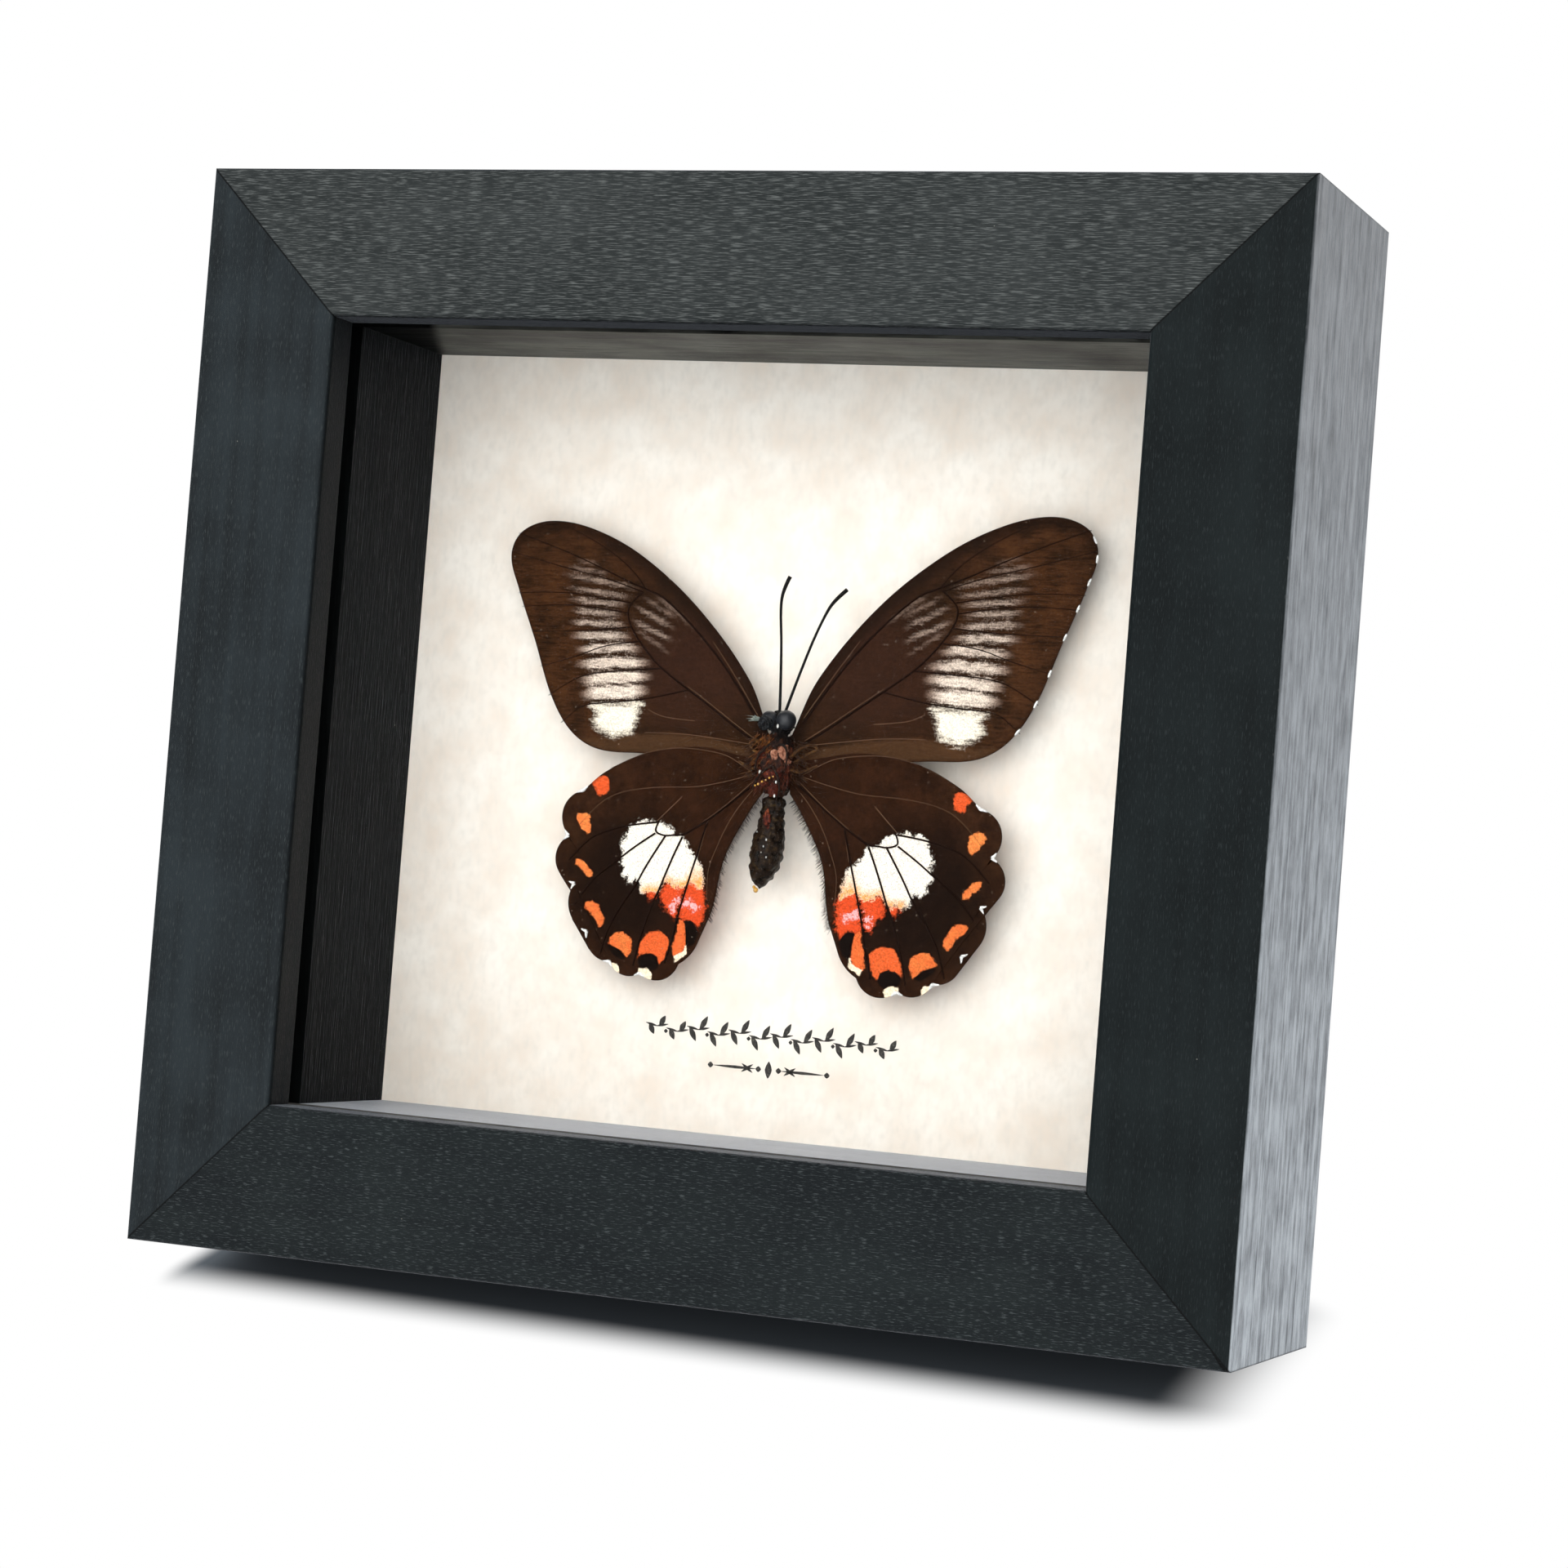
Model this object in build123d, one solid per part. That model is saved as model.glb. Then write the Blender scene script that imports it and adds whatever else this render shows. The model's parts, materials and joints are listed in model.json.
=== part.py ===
from build123d import *

import math
import os

# A glazed, mitred box frame that holds one spread butterfly, leaning back on its easel strut.
# Everything is built upright in the case's own frame, in millimetres and degrees: x runs left to
# right, y from the front face (0) to the rear face, z up from the bottom edge (0). The finished
# pieces are leaned back together at the end.

# ---- driving sizes: the frame
frame_width = 150.0
frame_height = 142.5
frame_depth = 38.0
rail_width = 19.5          # front face of the moulding
lip_depth = 5.5            # thickness of the front lip
rabbet_width = 6.5         # how far the rabbet reaches behind the lip
outer_arris = 0.5          # rounding of the outer front edge
sight_arris = 0.9          # rounding of the inner front edge
nail_leg = 4.5             # corner V-nails
nail_thickness = 0.6
nail_depth = 10.0
nail_clearance = 0.03

# ---- driving sizes: what lies in the rabbet, from the front
glazing_thickness = 3.0
paper_thickness = 0.4
board_thickness = 3.0
panel_thickness = 2.5
sheet_clearance = 0.5      # each sheet to the rabbet wall, all round
spacer_clearance = 0.3     # each spacer to the rabbet wall

# ---- driving sizes: turn buttons and their screws
button_arm = 12.0          # pivot to the tip that laps the panel
button_tail = 4.5          # pivot to the other end
button_width = 8.0
button_thickness = 1.2
button_spread = 36.0       # height of the pivots above and below the middle
screw_shank_radius = 1.4
screw_shank_length = 9.0
screw_head_radius = 3.0
screw_head_height = 1.6
recess_width = 0.8         # cross recess
recess_depth = 0.8
button_clearance = 0.08    # radial, button on shank
pilot_clearance = 0.05     # radial, shank, rivet or pin in its hole
cut_margin = 1.0           # how far a cutter runs past what it cuts

# ---- driving sizes: sawtooth hanger
hanger_length = 44.0
hanger_height = 8.0
hanger_thickness = 0.8
hanger_rise = 1.4
hanger_bridge = 13.0       # half length of the raised middle
hanger_ramp = 3.0
tooth_pitch = 2.6
tooth_depth = 1.6
tooth_count = 9
brad_shank_radius = 0.7
brad_shank_length = 9.0
brad_head_radius = 1.5
brad_head_height = 0.5

# ---- driving sizes: stance, easel strut and its hinge
lean_angle = 16.0          # case leans back from upright
open_angle = 28.0          # strut from the back panel, on its stop
pivot_height = 96.0        # above the case's bottom edge
strut_thickness = 2.5
strut_top_width = 32.0
strut_foot_width = 44.0
strut_gap = 0.4            # strut to panel when folded
stop_clearance = 0.05      # strut shoulders to panel when open
hinge_width = 22.0
middle_knuckle = 9.6
hinge_pin_radius = 0.8
hinge_running_clearance = 0.07
knuckle_gap = 0.2          # between knuckles, and twice that from barrel to leaf or strut
leaf_thickness = 0.8
leaf_height = 13.0         # pivot to the far edge of a leaf
leaf_corner = 2.0
rivet_spread = 6.5         # rivets left and right of the middle
rivet_radius = 1.2
rivet_head_radius = 2.2
rivet_head_height = 0.7

# ---- driving sizes: the specimen
specimen_x = 1.3           # middle of the thorax from the middle of the frame
specimen_z = -2.2
wing_reach = 41.6          # middle of the thorax to the tip of a forewing, sideways
wing_lift = 5.0            # wing plane above the paper
wing_thickness = 0.3
wing_gap = 0.1             # between fore and hind wing where they lap
wing_droop = 1.5           # tips lie nearer the paper by this angle
forewing_spread = 1.8      # right forewing raised and left lowered by this angle
hindwing_spread = 1.15
forewing_odds = 0.014      # right forewing larger and left smaller by this share
hindwing_odds = 0.006
thorax_width = 6.4
thorax_length = 9.4
abdomen_start = 4.2        # below the middle of the thorax
abdomen_length = 12.2
abdomen_width = 5.0
waist_width = 3.2
head_radius = 1.9
head_half_length = 1.8
head_height = 5.6          # above the middle of the thorax
eye_radius = 1.25
eye_spread = 1.4
eye_height = 5.8           # above the middle of the thorax
eye_forward = 0.9          # in front of it
antenna_length = 17.5      # straight from its root to its tip
antenna_spread = 0.4       # roots left and right of the middle
antenna_radius = 0.18
antenna_tip_radius = 0.3
specimen_pin_radius = 0.25
specimen_pin_in_board = 2.4
specimen_clearance = 0.05  # between neighbouring parts of the specimen

# ---- places that follow from the sizes
sight_width = frame_width - 2 * rail_width
sight_height = frame_height - 2 * rail_width
wall = rail_width - rabbet_width
rabbet_opening_width = sight_width + 2 * rabbet_width
rabbet_opening_height = sight_height + 2 * rabbet_width
middle_z = frame_height / 2
spacer_front = lip_depth + glazing_thickness
panel_front = frame_depth - panel_thickness
board_front = panel_front - board_thickness
paper_front = board_front - paper_thickness
wing_plane = paper_front - wing_lift
thorax_place = Pos(specimen_x, wing_plane, middle_z + specimen_z)
button_x = (frame_width - wall) / 2
barrel_radius = (strut_gap + strut_thickness + leaf_thickness) / 2
leaf_start = barrel_radius + 2 * knuckle_gap
strut_inner = strut_gap - barrel_radius
pivot = Pos(0, frame_depth + barrel_radius, pivot_height)
top_rail_middle = frame_height - wall / 2
FROM_FRONT = (Align.CENTER, Align.MIN, Align.CENTER)


# ---- frame
def moulding(length):
    """A mitred length of moulding with its outer face down on z = 0."""
    corners = [
        (0, 0), (frame_depth, 0), (frame_depth, wall),
        (lip_depth, wall), (lip_depth, rail_width), (0, rail_width),
    ]
    section = make_face(Polyline(*corners, close=True))
    front = section.vertices().group_by(Axis.X)[0].sort_by(Axis.Y)
    section = fillet(front[0], outer_arris)
    front = section.vertices().sort_by_distance((0, rail_width))
    section = fillet(front[0], sight_arris)
    bar = extrude(Plane.YZ * section, length / 2, both=True)
    low_half = length / 2 + cut_margin
    high_half = length / 2 - rail_width - cut_margin
    trapezium = Polyline(
        (-low_half, -cut_margin), (low_half, -cut_margin),
        (high_half, rail_width + cut_margin), (-high_half, rail_width + cut_margin), close=True,
    )
    return bar & extrude(Plane.XZ * make_face(trapezium), 2 * frame_depth, both=True)


def corner_nail(side_x, side_z, grow=0.0):
    """One V-nail, driven from behind across the mitre of a corner, or the slot that it needs."""
    apex = Pos(
        side_x * (frame_width - wall) / 2, frame_depth, middle_z + side_z * (frame_height - wall) / 2
    )
    across = (Align.MAX if side_x > 0 else Align.MIN, Align.MAX, Align.CENTER)
    upright = (Align.CENTER, Align.MAX, Align.MAX if side_z > 0 else Align.MIN)
    thickness = nail_thickness + 2 * grow
    depth = nail_depth + grow
    back = thickness / 2
    reach = nail_leg + back + grow
    flat_leg = Pos(side_x * back, 0, 0) * Box(reach, depth, thickness, align=across)
    tall_leg = Pos(0, 0, side_z * back) * Box(thickness, depth, reach, align=upright)
    return apex * (flat_leg + tall_leg)


# ---- fasteners: the head stands out along +y from y = 0, and the shank runs along -y
def fastener(shank_radius, shank_length, head_radius, head_height):
    """A pointed shank with a domed head."""
    tip_flat = shank_radius * 0.2
    rim_height = head_height * 0.4
    half_section = Polyline(
        (0, -shank_length), (tip_flat, -shank_length), (shank_radius, shank_radius - shank_length),
        (shank_radius, 0), (head_radius, 0), (head_radius, rim_height),
    )
    over = dome((head_radius, rim_height), head_height, -shank_length)
    return revolve(make_face(half_section + over), Axis.Y)


def dome(rim, top, bottom):
    """The line over a domed head: an arc from its rim to a small flat, then down the axis."""
    radius, height = rim
    flat = radius * 0.25
    swell = 0.72
    half_way = ((radius + flat) / 2, height + (top - height) * swell)
    arc = ThreePointArc(rim, half_way, (flat, top))
    return arc + Polyline((flat, top), (0, top), (0, bottom))


def round_hole(radius, depth):
    """A round cutter of twice the depth, through y = 0."""
    return Rot(90, 0, 0) * Cylinder(radius, 2 * depth)


def turn_button_screw():
    """A pan-head wood screw with a cross recess."""
    body = fastener(screw_shank_radius, screw_shank_length, screw_head_radius, screw_head_height)
    arm = screw_head_radius * 1.1
    cross = Box(arm, 2 * recess_depth, recess_width) + Box(recess_width, 2 * recess_depth, arm)
    return body - Pos(0, screw_head_height, 0) * cross


def turn_button():
    """A flat pressed button on its pivot, arm towards +x, lying on y = 0."""
    overall = button_arm + button_tail
    outline = Pos((button_arm - button_tail) / 2, 0) * SlotOverall(overall, button_width)
    plate = extrude(Plane.XZ * outline, -button_thickness)
    plate = fillet(plate.edges().group_by(Axis.Y)[-1], button_thickness * 0.25)
    return plate - round_hole(screw_shank_radius + button_clearance, 2 * button_thickness)


def button_place(side_x, side_z):
    """Where a turn button's pivot lies on the rear face, with +x turned towards the panel."""
    turn = 180 if side_x > 0 else 0
    height = middle_z + side_z * button_spread
    return Pos(side_x * button_x, frame_depth, height) * Rot(0, turn, 0)


# ---- hanger
def sawtooth_hanger():
    """A pressed strip with a raised, toothed middle, lying on y = 0."""
    half, foot = hanger_length / 2, hanger_bridge + hanger_ramp
    under = [
        (-half, 0), (-foot, 0), (-hanger_bridge, hanger_rise),
        (hanger_bridge, hanger_rise), (foot, 0), (half, 0),
    ]
    over = [(x, y + hanger_thickness) for x, y in reversed(under)]
    strip = extrude(make_face(Polyline(*under, *over, close=True)), hanger_height / 2, both=True)
    lower_edge = -hanger_height / 2
    for index in range(tooth_count):
        x = (index - (tooth_count - 1) / 2) * tooth_pitch
        notch = Polyline(
            (x - tooth_pitch / 2, lower_edge), (x, lower_edge + tooth_depth),
            (x + tooth_pitch / 2, lower_edge), close=True,
        )
        strip -= extrude(Plane.XZ * make_face(notch), 3 * hanger_rise, both=True)
    for x in brad_places():
        strip -= Pos(x, 0, 0) * round_hole(brad_shank_radius + pilot_clearance, 2 * hanger_thickness)
    return strip


def brad_places():
    """Middles of the hanger's two flat ends."""
    foot = hanger_bridge + hanger_ramp
    middle = (hanger_length / 2 + foot) / 2
    return (-middle, middle)


# ---- easel strut and hinge, built folded with the pivot at the origin
def strut_blank():
    """The strut board, notched round the hinge and longer than the way to the ground.

    Its square shoulders rise just far enough above the pivot to meet the panel at open_angle.
    """
    opened = math.radians(open_angle)
    to_panel = barrel_radius - stop_clearance
    shoulder = (to_panel + strut_inner * math.cos(opened)) / math.sin(opened)
    notch_half = hinge_width / 2 + 2 * knuckle_gap
    slope = math.radians(open_angle - lean_angle)
    reach = pivot_ground_height() / math.cos(slope) + strut_thickness
    outline = Polyline(
        (-strut_foot_width / 2, -reach), (strut_foot_width / 2, -reach),
        (strut_top_width / 2, shoulder), (notch_half, shoulder), (notch_half, -leaf_start),
        (-notch_half, -leaf_start), (-notch_half, shoulder), (-strut_top_width / 2, shoulder),
        close=True,
    )
    board = Pos(0, strut_inner, 0) * extrude(Plane.XZ * make_face(outline), -strut_thickness)
    for x, z in rivet_places(-1):
        board -= Pos(x, 0, z) * rivet_hole()
    return board


def pivot_ground_height():
    """Height of the hinge axis above the ground once the case leans back."""
    lean = math.radians(lean_angle)
    return pivot_height * math.cos(lean) - barrel_radius * math.sin(lean)


def rivet_places(side_z):
    """Rivet centres on a leaf that lies above (1) or below (-1) the pivot."""
    z = side_z * (leaf_start + leaf_height) / 2
    return [(-rivet_spread, z), (rivet_spread, z)]


def rivet_hole():
    """A cutter for a rivet's shank, through everything near y = 0."""
    return round_hole(rivet_radius + pilot_clearance, 3 * strut_thickness)


def hinge_leaf(side_z, plate_y, knuckles, bore):
    """A leaf above or below the pivot, its plate from plate_y on, rolled round the pin."""
    plate = Pos(0, plate_y, side_z * (leaf_start + leaf_height) / 2) * Box(
        hinge_width, leaf_thickness, leaf_height - leaf_start, align=FROM_FRONT
    )
    far_end = plate.edges().filter_by(Axis.Y).group_by(Axis.Z)[-1 if side_z > 0 else 0]
    plate = fillet(far_end, leaf_corner)
    for middle, width in knuckles:
        tongue = Pos(middle, plate_y, side_z * leaf_start / 2) * Box(
            width, leaf_thickness, leaf_start, align=FROM_FRONT
        )
        barrel = Pos(middle, 0, 0) * Rot(0, 90, 0) * Cylinder(barrel_radius, width)
        plate += tongue + barrel
    plate -= Rot(0, 90, 0) * Cylinder(bore, 2 * hinge_width)
    for x, z in rivet_places(side_z):
        plate -= Pos(x, 0, z) * rivet_hole()
    return plate


def rivet(grip):
    """A domed rivet whose shank reaches the far side of what it grips."""
    shank = Pos(0, -grip, 0) * Rot(-90, 0, 0) * Cylinder(
        rivet_radius, grip, align=(Align.CENTER, Align.CENTER, Align.MIN)
    )
    underside = Line((0, 0), (rivet_head_radius, 0))
    profile = make_face(underside + dome((rivet_head_radius, 0), rivet_head_height, 0))
    return shank + revolve(profile, Axis.Y)


# ---- specimen, ventral side to the front, built round the middle of the thorax
def ellipsoid_of_turn(radius, half_length, grow=0.0):
    """A body of turn about z with an elliptical outline, grown by a clearance, its poles flat."""
    pole = 84
    rim = EllipticalCenterArc((0, 0), radius + grow, half_length + grow, -pole, arc_size=2 * pole)
    low, high = (rim @ 0).Y, (rim @ 1).Y
    outline = make_face(rim + Polyline(rim @ 1, (0, high), (0, low), rim @ 0))
    return revolve(Plane.XZ * outline, Axis.Z)


def thorax_core(grow=0.0):
    """The thorax, or the space it needs with a clearance."""
    return ellipsoid_of_turn(thorax_width / 2, thorax_length / 2, grow)


def abdomen():
    """A waisted spindle that hangs below the thorax."""
    top, tip = -abdomen_start, -abdomen_start - abdomen_length
    waist_end, widest = top - abdomen_length * 0.22, top - abdomen_length * 0.6
    tip_flat = abdomen_width * 0.1
    flank = Spline(
        (waist_width / 2, top), (waist_width * 0.48, waist_end), (abdomen_width / 2, widest),
        (tip_flat, tip),
    )
    outline = make_face(flank + Polyline((tip_flat, tip), (0, tip), (0, top), (waist_width / 2, top)))
    return revolve(Plane.XZ * outline, Axis.Z) - thorax_core(specimen_clearance)


def head_core(grow=0.0):
    """The head before its hollows are cut, or the space it needs with a clearance."""
    return Pos(0, 0, head_height) * ellipsoid_of_turn(head_radius, head_half_length, grow)


def head():
    """The head, with hollows for the eyes and cut to the thorax."""
    core = head_core()
    for eye in eyes(specimen_clearance):
        core -= eye
    return core - thorax_core(specimen_clearance)


def eyes(grow=0.0):
    """The two round eyes, or the hollows that they need with a clearance."""
    return [
        Pos(side * eye_spread, -eye_forward, eye_height) * Sphere(eye_radius + grow)
        for side in (-1, 1)
    ]


def antenna(side, middle, elbow, tip):
    """A thin feeler along two arcs that meet smoothly, with a thicker tip.

    Its points are measured from its root, in hundredths of antenna_length.
    """
    root = Vector(side * antenna_spread, head_height + head_half_length)
    middle, elbow, tip = (root + Vector(*point) * antenna_length / 100 for point in (middle, elbow, tip))
    shaft = ThreePointArc(root, middle, elbow)
    hook = TangentArc(elbow, tip, tangent=shaft % 1)
    path = Plane.XZ * Wire([shaft.edge(), hook.edge()])
    section = Plane(origin=path @ 0, z_dir=path % 0) * Circle(antenna_radius)
    return sweep(section, path=path) + Pos(tip.X, 0, tip.Y) * Sphere(antenna_tip_radius)


def on_wing(*points):
    """Points of a right wing, given in hundredths of wing_reach from the middle of the thorax."""
    return [(x * wing_reach / 100, z * wing_reach / 100) for x, z in points]


def forewing():
    """Outline of a right forewing: costa, rounded apex, outer margin, inner margin."""
    rim = Spline(*on_wing(
        (3.6, 8.7), (12.0, 27.4), (31.0, 50.2), (51.7, 66.8), (69.7, 75.7), (85.3, 78.6),
        (96.2, 75.2), (100, 67.3), (96.6, 55.8), (89.7, 38.9), (82.5, 20.7), (74.5, 9.1),
        (64.4, 3.4), (48.1, 2.4), (21.6, 1.0), (3.6, 0.5),
    ))
    return make_face(rim + Line(rim @ 1, rim @ 0))


def hindwing():
    """Outline of a right hindwing: plain leading edge, scalloped outer margin, inner margin."""
    leading = Spline(*on_wing(
        (3.6, -3.6), (13.0, 0.7), (27.6, 4.7), (46.6, 1.8), (60.1, -4.6), (67.8, -11.1)
    ))
    notches = on_wing(
        (67.8, -11.1), (72.1, -26.0), (69.2, -41.3), (63.9, -56.7), (55.0, -65.9), (43.8, -69.0),
        (30.3, -65.4), (23.8, -57.9),
    )
    bulges = [0.31, 0.38, 0.27, 0.25, 0.23, 0.27, 0.09]
    rim = leading
    for start, end, bulge in zip(notches, notches[1:], bulges):
        chord = Vector(*end) - Vector(*start)
        outward = Vector(-chord.Y, chord.X) * bulge
        rim += ThreePointArc(start, Vector(*start) + chord / 2 + outward, end)
    inner = Spline(*on_wing((23.8, -57.9), (19.7, -46.9), (16.6, -30.3), (8.7, -14.9), (4.6, -9.1)))
    return make_face(rim + inner + Line(inner @ 1, leading @ 0))


def wing(outline, side, spread, odds, front):
    """A thin right (1) or left (-1) wing behind y = front, turned about the middle of the thorax."""
    plate = extrude(Plane.XZ * scale(outline, 1 + side * odds), -wing_thickness)
    plate = Rot(0, 0, wing_droop) * Pos(0, front, 0) * Rot(0, -spread * side, 0) * plate
    if side < 0:
        plate = mirror(plate, Plane.YZ)
    body = [thorax_core(specimen_clearance), head_core(specimen_clearance)]
    for neighbour in body + eyes(specimen_clearance):
        plate -= neighbour
    return plate


# ---- assembly, upright
nodes = {}


def build_frame():
    """The four mitred rails and the V-nails across their corners."""
    corners = [(side_x, side_z) for side_x in (-1, 1) for side_z in (-1, 1)]
    slots = [corner_nail(*corner, nail_clearance) for corner in corners]
    rails = {
        "rail_bottom": moulding(frame_width),
        "rail_top": Pos(0, 0, frame_height) * Rot(0, 180, 0) * moulding(frame_width),
        "stile_left": Pos(-frame_width / 2, 0, middle_z) * Rot(0, 90, 0) * moulding(frame_height),
        "stile_right": Pos(frame_width / 2, 0, middle_z) * Rot(0, -90, 0) * moulding(frame_height),
    }
    for name, rail in rails.items():
        for slot in slots:
            rail -= slot
        nodes[name] = rail
    nodes["corner_v_nails"] = Compound(children=[corner_nail(*corner) for corner in corners])


def sheet(thickness, front):
    """A sheet that fills the rabbet opening, less the clearance all round."""
    width = rabbet_opening_width - 2 * sheet_clearance
    height = rabbet_opening_height - 2 * sheet_clearance
    return Pos(0, front, middle_z) * Box(width, thickness, height, align=FROM_FRONT)


def build_stack():
    """Glazing, spacers, paper, pinning board and back panel, from front to rear."""
    nodes["glazing_pane"] = sheet(glazing_thickness, lip_depth)
    spacer = rabbet_width - spacer_clearance
    depth = paper_front - spacer_front
    for name, side in (("spacer_left", -1), ("spacer_right", 1)):
        upright = Box(spacer, depth, sight_height, align=FROM_FRONT)
        nodes[name] = Pos(side * (sight_width + spacer) / 2, spacer_front, middle_z) * upright
    for name, side in (("spacer_bottom", -1), ("spacer_top", 1)):
        across = Box(sight_width + 2 * spacer, depth, spacer, align=FROM_FRONT)
        nodes[name] = Pos(0, spacer_front, middle_z + side * (sight_height + spacer) / 2) * across
    pin_hole = thorax_place * round_hole(
        specimen_pin_radius, board_front - wing_plane + specimen_pin_in_board
    )
    nodes["backing_paper"] = sheet(paper_thickness, paper_front) - pin_hole
    nodes["pinning_board"] = sheet(board_thickness, board_front) - pin_hole
    nodes["back_panel"] = sheet(panel_thickness, panel_front)


def build_closing():
    """Turn buttons and their screws on the stiles, and the hanger and its brads on the top rail."""
    screws = []
    places = {
        "left_upper": (-1, 1), "left_lower": (-1, -1), "right_upper": (1, 1), "right_lower": (1, -1)
    }
    into_wood = screw_shank_length - button_thickness + pilot_clearance
    for name, (side_x, side_z) in places.items():
        place = button_place(side_x, side_z)
        nodes["turn_button_" + name] = place * turn_button()
        screws.append(place * Pos(0, button_thickness, 0) * turn_button_screw())
        stile = "stile_left" if side_x < 0 else "stile_right"
        nodes[stile] -= place * round_hole(screw_shank_radius + pilot_clearance, into_wood)
    nodes["turn_button_screws"] = Compound(children=screws)
    hanger_place = Pos(0, frame_depth, top_rail_middle)
    nodes["sawtooth_hanger"] = hanger_place * sawtooth_hanger()
    brads = []
    for x in brad_places():
        place = hanger_place * Pos(x, 0, 0)
        brad = fastener(brad_shank_radius, brad_shank_length, brad_head_radius, brad_head_height)
        brads.append(place * Pos(0, hanger_thickness, 0) * brad)
        nodes["rail_top"] -= place * round_hole(
            brad_shank_radius + pilot_clearance, brad_shank_length - hanger_thickness + pilot_clearance
        )
    nodes["hanger_brads"] = Compound(children=brads)


def build_easel():
    """The strut on its hinge, opened to its stop."""
    outer_width = (hinge_width - middle_knuckle) / 2 - knuckle_gap
    outer_middle = (hinge_width - outer_width) / 2
    outer = [(-outer_middle, outer_width), (outer_middle, outer_width)]
    middle = [(0, middle_knuckle)]
    tight = hinge_pin_radius + pilot_clearance / 2
    loose = hinge_pin_radius + hinge_running_clearance
    nodes["hinge_leaf_panel"] = pivot * hinge_leaf(1, -barrel_radius, outer, tight)
    nodes["hinge_pin"] = pivot * Rot(0, 90, 0) * Cylinder(hinge_pin_radius, hinge_width)
    panel_rivets = []
    for x, z in rivet_places(1):
        nodes["back_panel"] -= pivot * Pos(x, 0, z) * rivet_hole()
        leaf_face = pivot * Pos(x, leaf_thickness - barrel_radius, z)
        panel_rivets.append(leaf_face * rivet(leaf_thickness + panel_thickness))
    nodes["panel_rivets"] = Compound(children=panel_rivets)
    opened = pivot * Rot(open_angle, 0, 0)
    nodes["hinge_leaf_strut"] = opened * hinge_leaf(-1, barrel_radius - leaf_thickness, middle, loose)
    nodes["easel_strut"] = opened * strut_blank()
    strut_rivets = [
        opened * Pos(x, barrel_radius, z) * rivet(leaf_thickness + strut_thickness)
        for x, z in rivet_places(-1)
    ]
    nodes["strut_rivets"] = Compound(children=strut_rivets)


def build_specimen():
    """The spread butterfly on its pin."""
    lap = -(wing_gap + wing_thickness)
    pin_length = board_front - wing_plane + specimen_pin_in_board
    parts = {
        "forewing_left": wing(forewing(), -1, forewing_spread, forewing_odds, 0),
        "forewing_right": wing(forewing(), 1, forewing_spread, forewing_odds, 0),
        "hindwing_left": wing(hindwing(), -1, hindwing_spread, hindwing_odds, lap),
        "hindwing_right": wing(hindwing(), 1, hindwing_spread, hindwing_odds, lap),
        "thorax": thorax_core() - Pos(0, pin_length, 0) * round_hole(specimen_pin_radius, pin_length),
        "abdomen": abdomen(),
        "head": head(),
        "eyes": Compound(children=eyes()),
        "antenna_left": antenna(-1, (-2, 43), (-6.5, 80), (0, 100)),
        "antenna_right": antenna(1, (14, 43), (27, 75), (42, 92)),
        "specimen_pin": Rot(-90, 0, 0) * Cylinder(
            specimen_pin_radius, pin_length, align=(Align.CENTER, Align.CENTER, Align.MIN)
        ),
    }
    for name, part in parts.items():
        nodes[name] = thorax_place * part


build_frame()
build_stack()
build_closing()
build_easel()
build_specimen()

# ---- lean the case back on its rear bottom edge, trim the strut level with the ground, and put
# the origin at the middle of the footprint
lean_back = Rot(-lean_angle, 0, 0) * Pos(0, -frame_depth, 0)
leaning = {name: lean_back * shape for name, shape in nodes.items()}
above_ground = Box(
    2 * frame_width, 4 * frame_height, 2 * frame_height, align=(Align.CENTER, Align.CENTER, Align.MIN)
)
leaning["easel_strut"] = leaning["easel_strut"] & above_ground
boxes = [shape.bounding_box() for shape in leaning.values()]
front_y = min(box.min.Y for box in boxes)
rear_y = max(box.max.Y for box in boxes)
ground_z = min(box.min.Z for box in boxes)
to_origin = Pos(0, -(front_y + rear_y) / 2, -ground_z)

if __name__ == "__main__":
    os.makedirs("parts", exist_ok=True)
    for name, shape in leaning.items():
        export_step(to_origin * shape, f"parts/{name}.step")
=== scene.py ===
"""Dresses a glazed box frame round one spread butterfly: finishes, specimen, camera and light."""

import json
import logging
import math
from dataclasses import dataclass
from enum import Enum
from typing import Iterable, Mapping, NamedTuple, Optional, Sequence, Union

import bmesh
import bpy
import numpy as np
from mathutils import Matrix, Vector, noise
from mathutils.geometry import interpolate_bezier


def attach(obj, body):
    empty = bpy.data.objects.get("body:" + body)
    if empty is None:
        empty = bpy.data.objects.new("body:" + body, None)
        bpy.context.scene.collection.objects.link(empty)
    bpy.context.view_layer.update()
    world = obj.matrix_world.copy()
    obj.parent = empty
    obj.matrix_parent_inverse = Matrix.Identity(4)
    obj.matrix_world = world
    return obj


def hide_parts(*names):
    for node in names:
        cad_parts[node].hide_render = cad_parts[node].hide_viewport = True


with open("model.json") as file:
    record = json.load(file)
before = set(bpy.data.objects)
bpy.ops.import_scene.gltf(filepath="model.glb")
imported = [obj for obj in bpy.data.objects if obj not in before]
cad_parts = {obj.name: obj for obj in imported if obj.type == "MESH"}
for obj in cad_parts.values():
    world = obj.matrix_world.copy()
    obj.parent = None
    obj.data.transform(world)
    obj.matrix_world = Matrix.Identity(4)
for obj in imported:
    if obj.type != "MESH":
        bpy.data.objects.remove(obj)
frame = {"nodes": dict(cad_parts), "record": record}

log = logging.getLogger("display_case")

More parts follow.
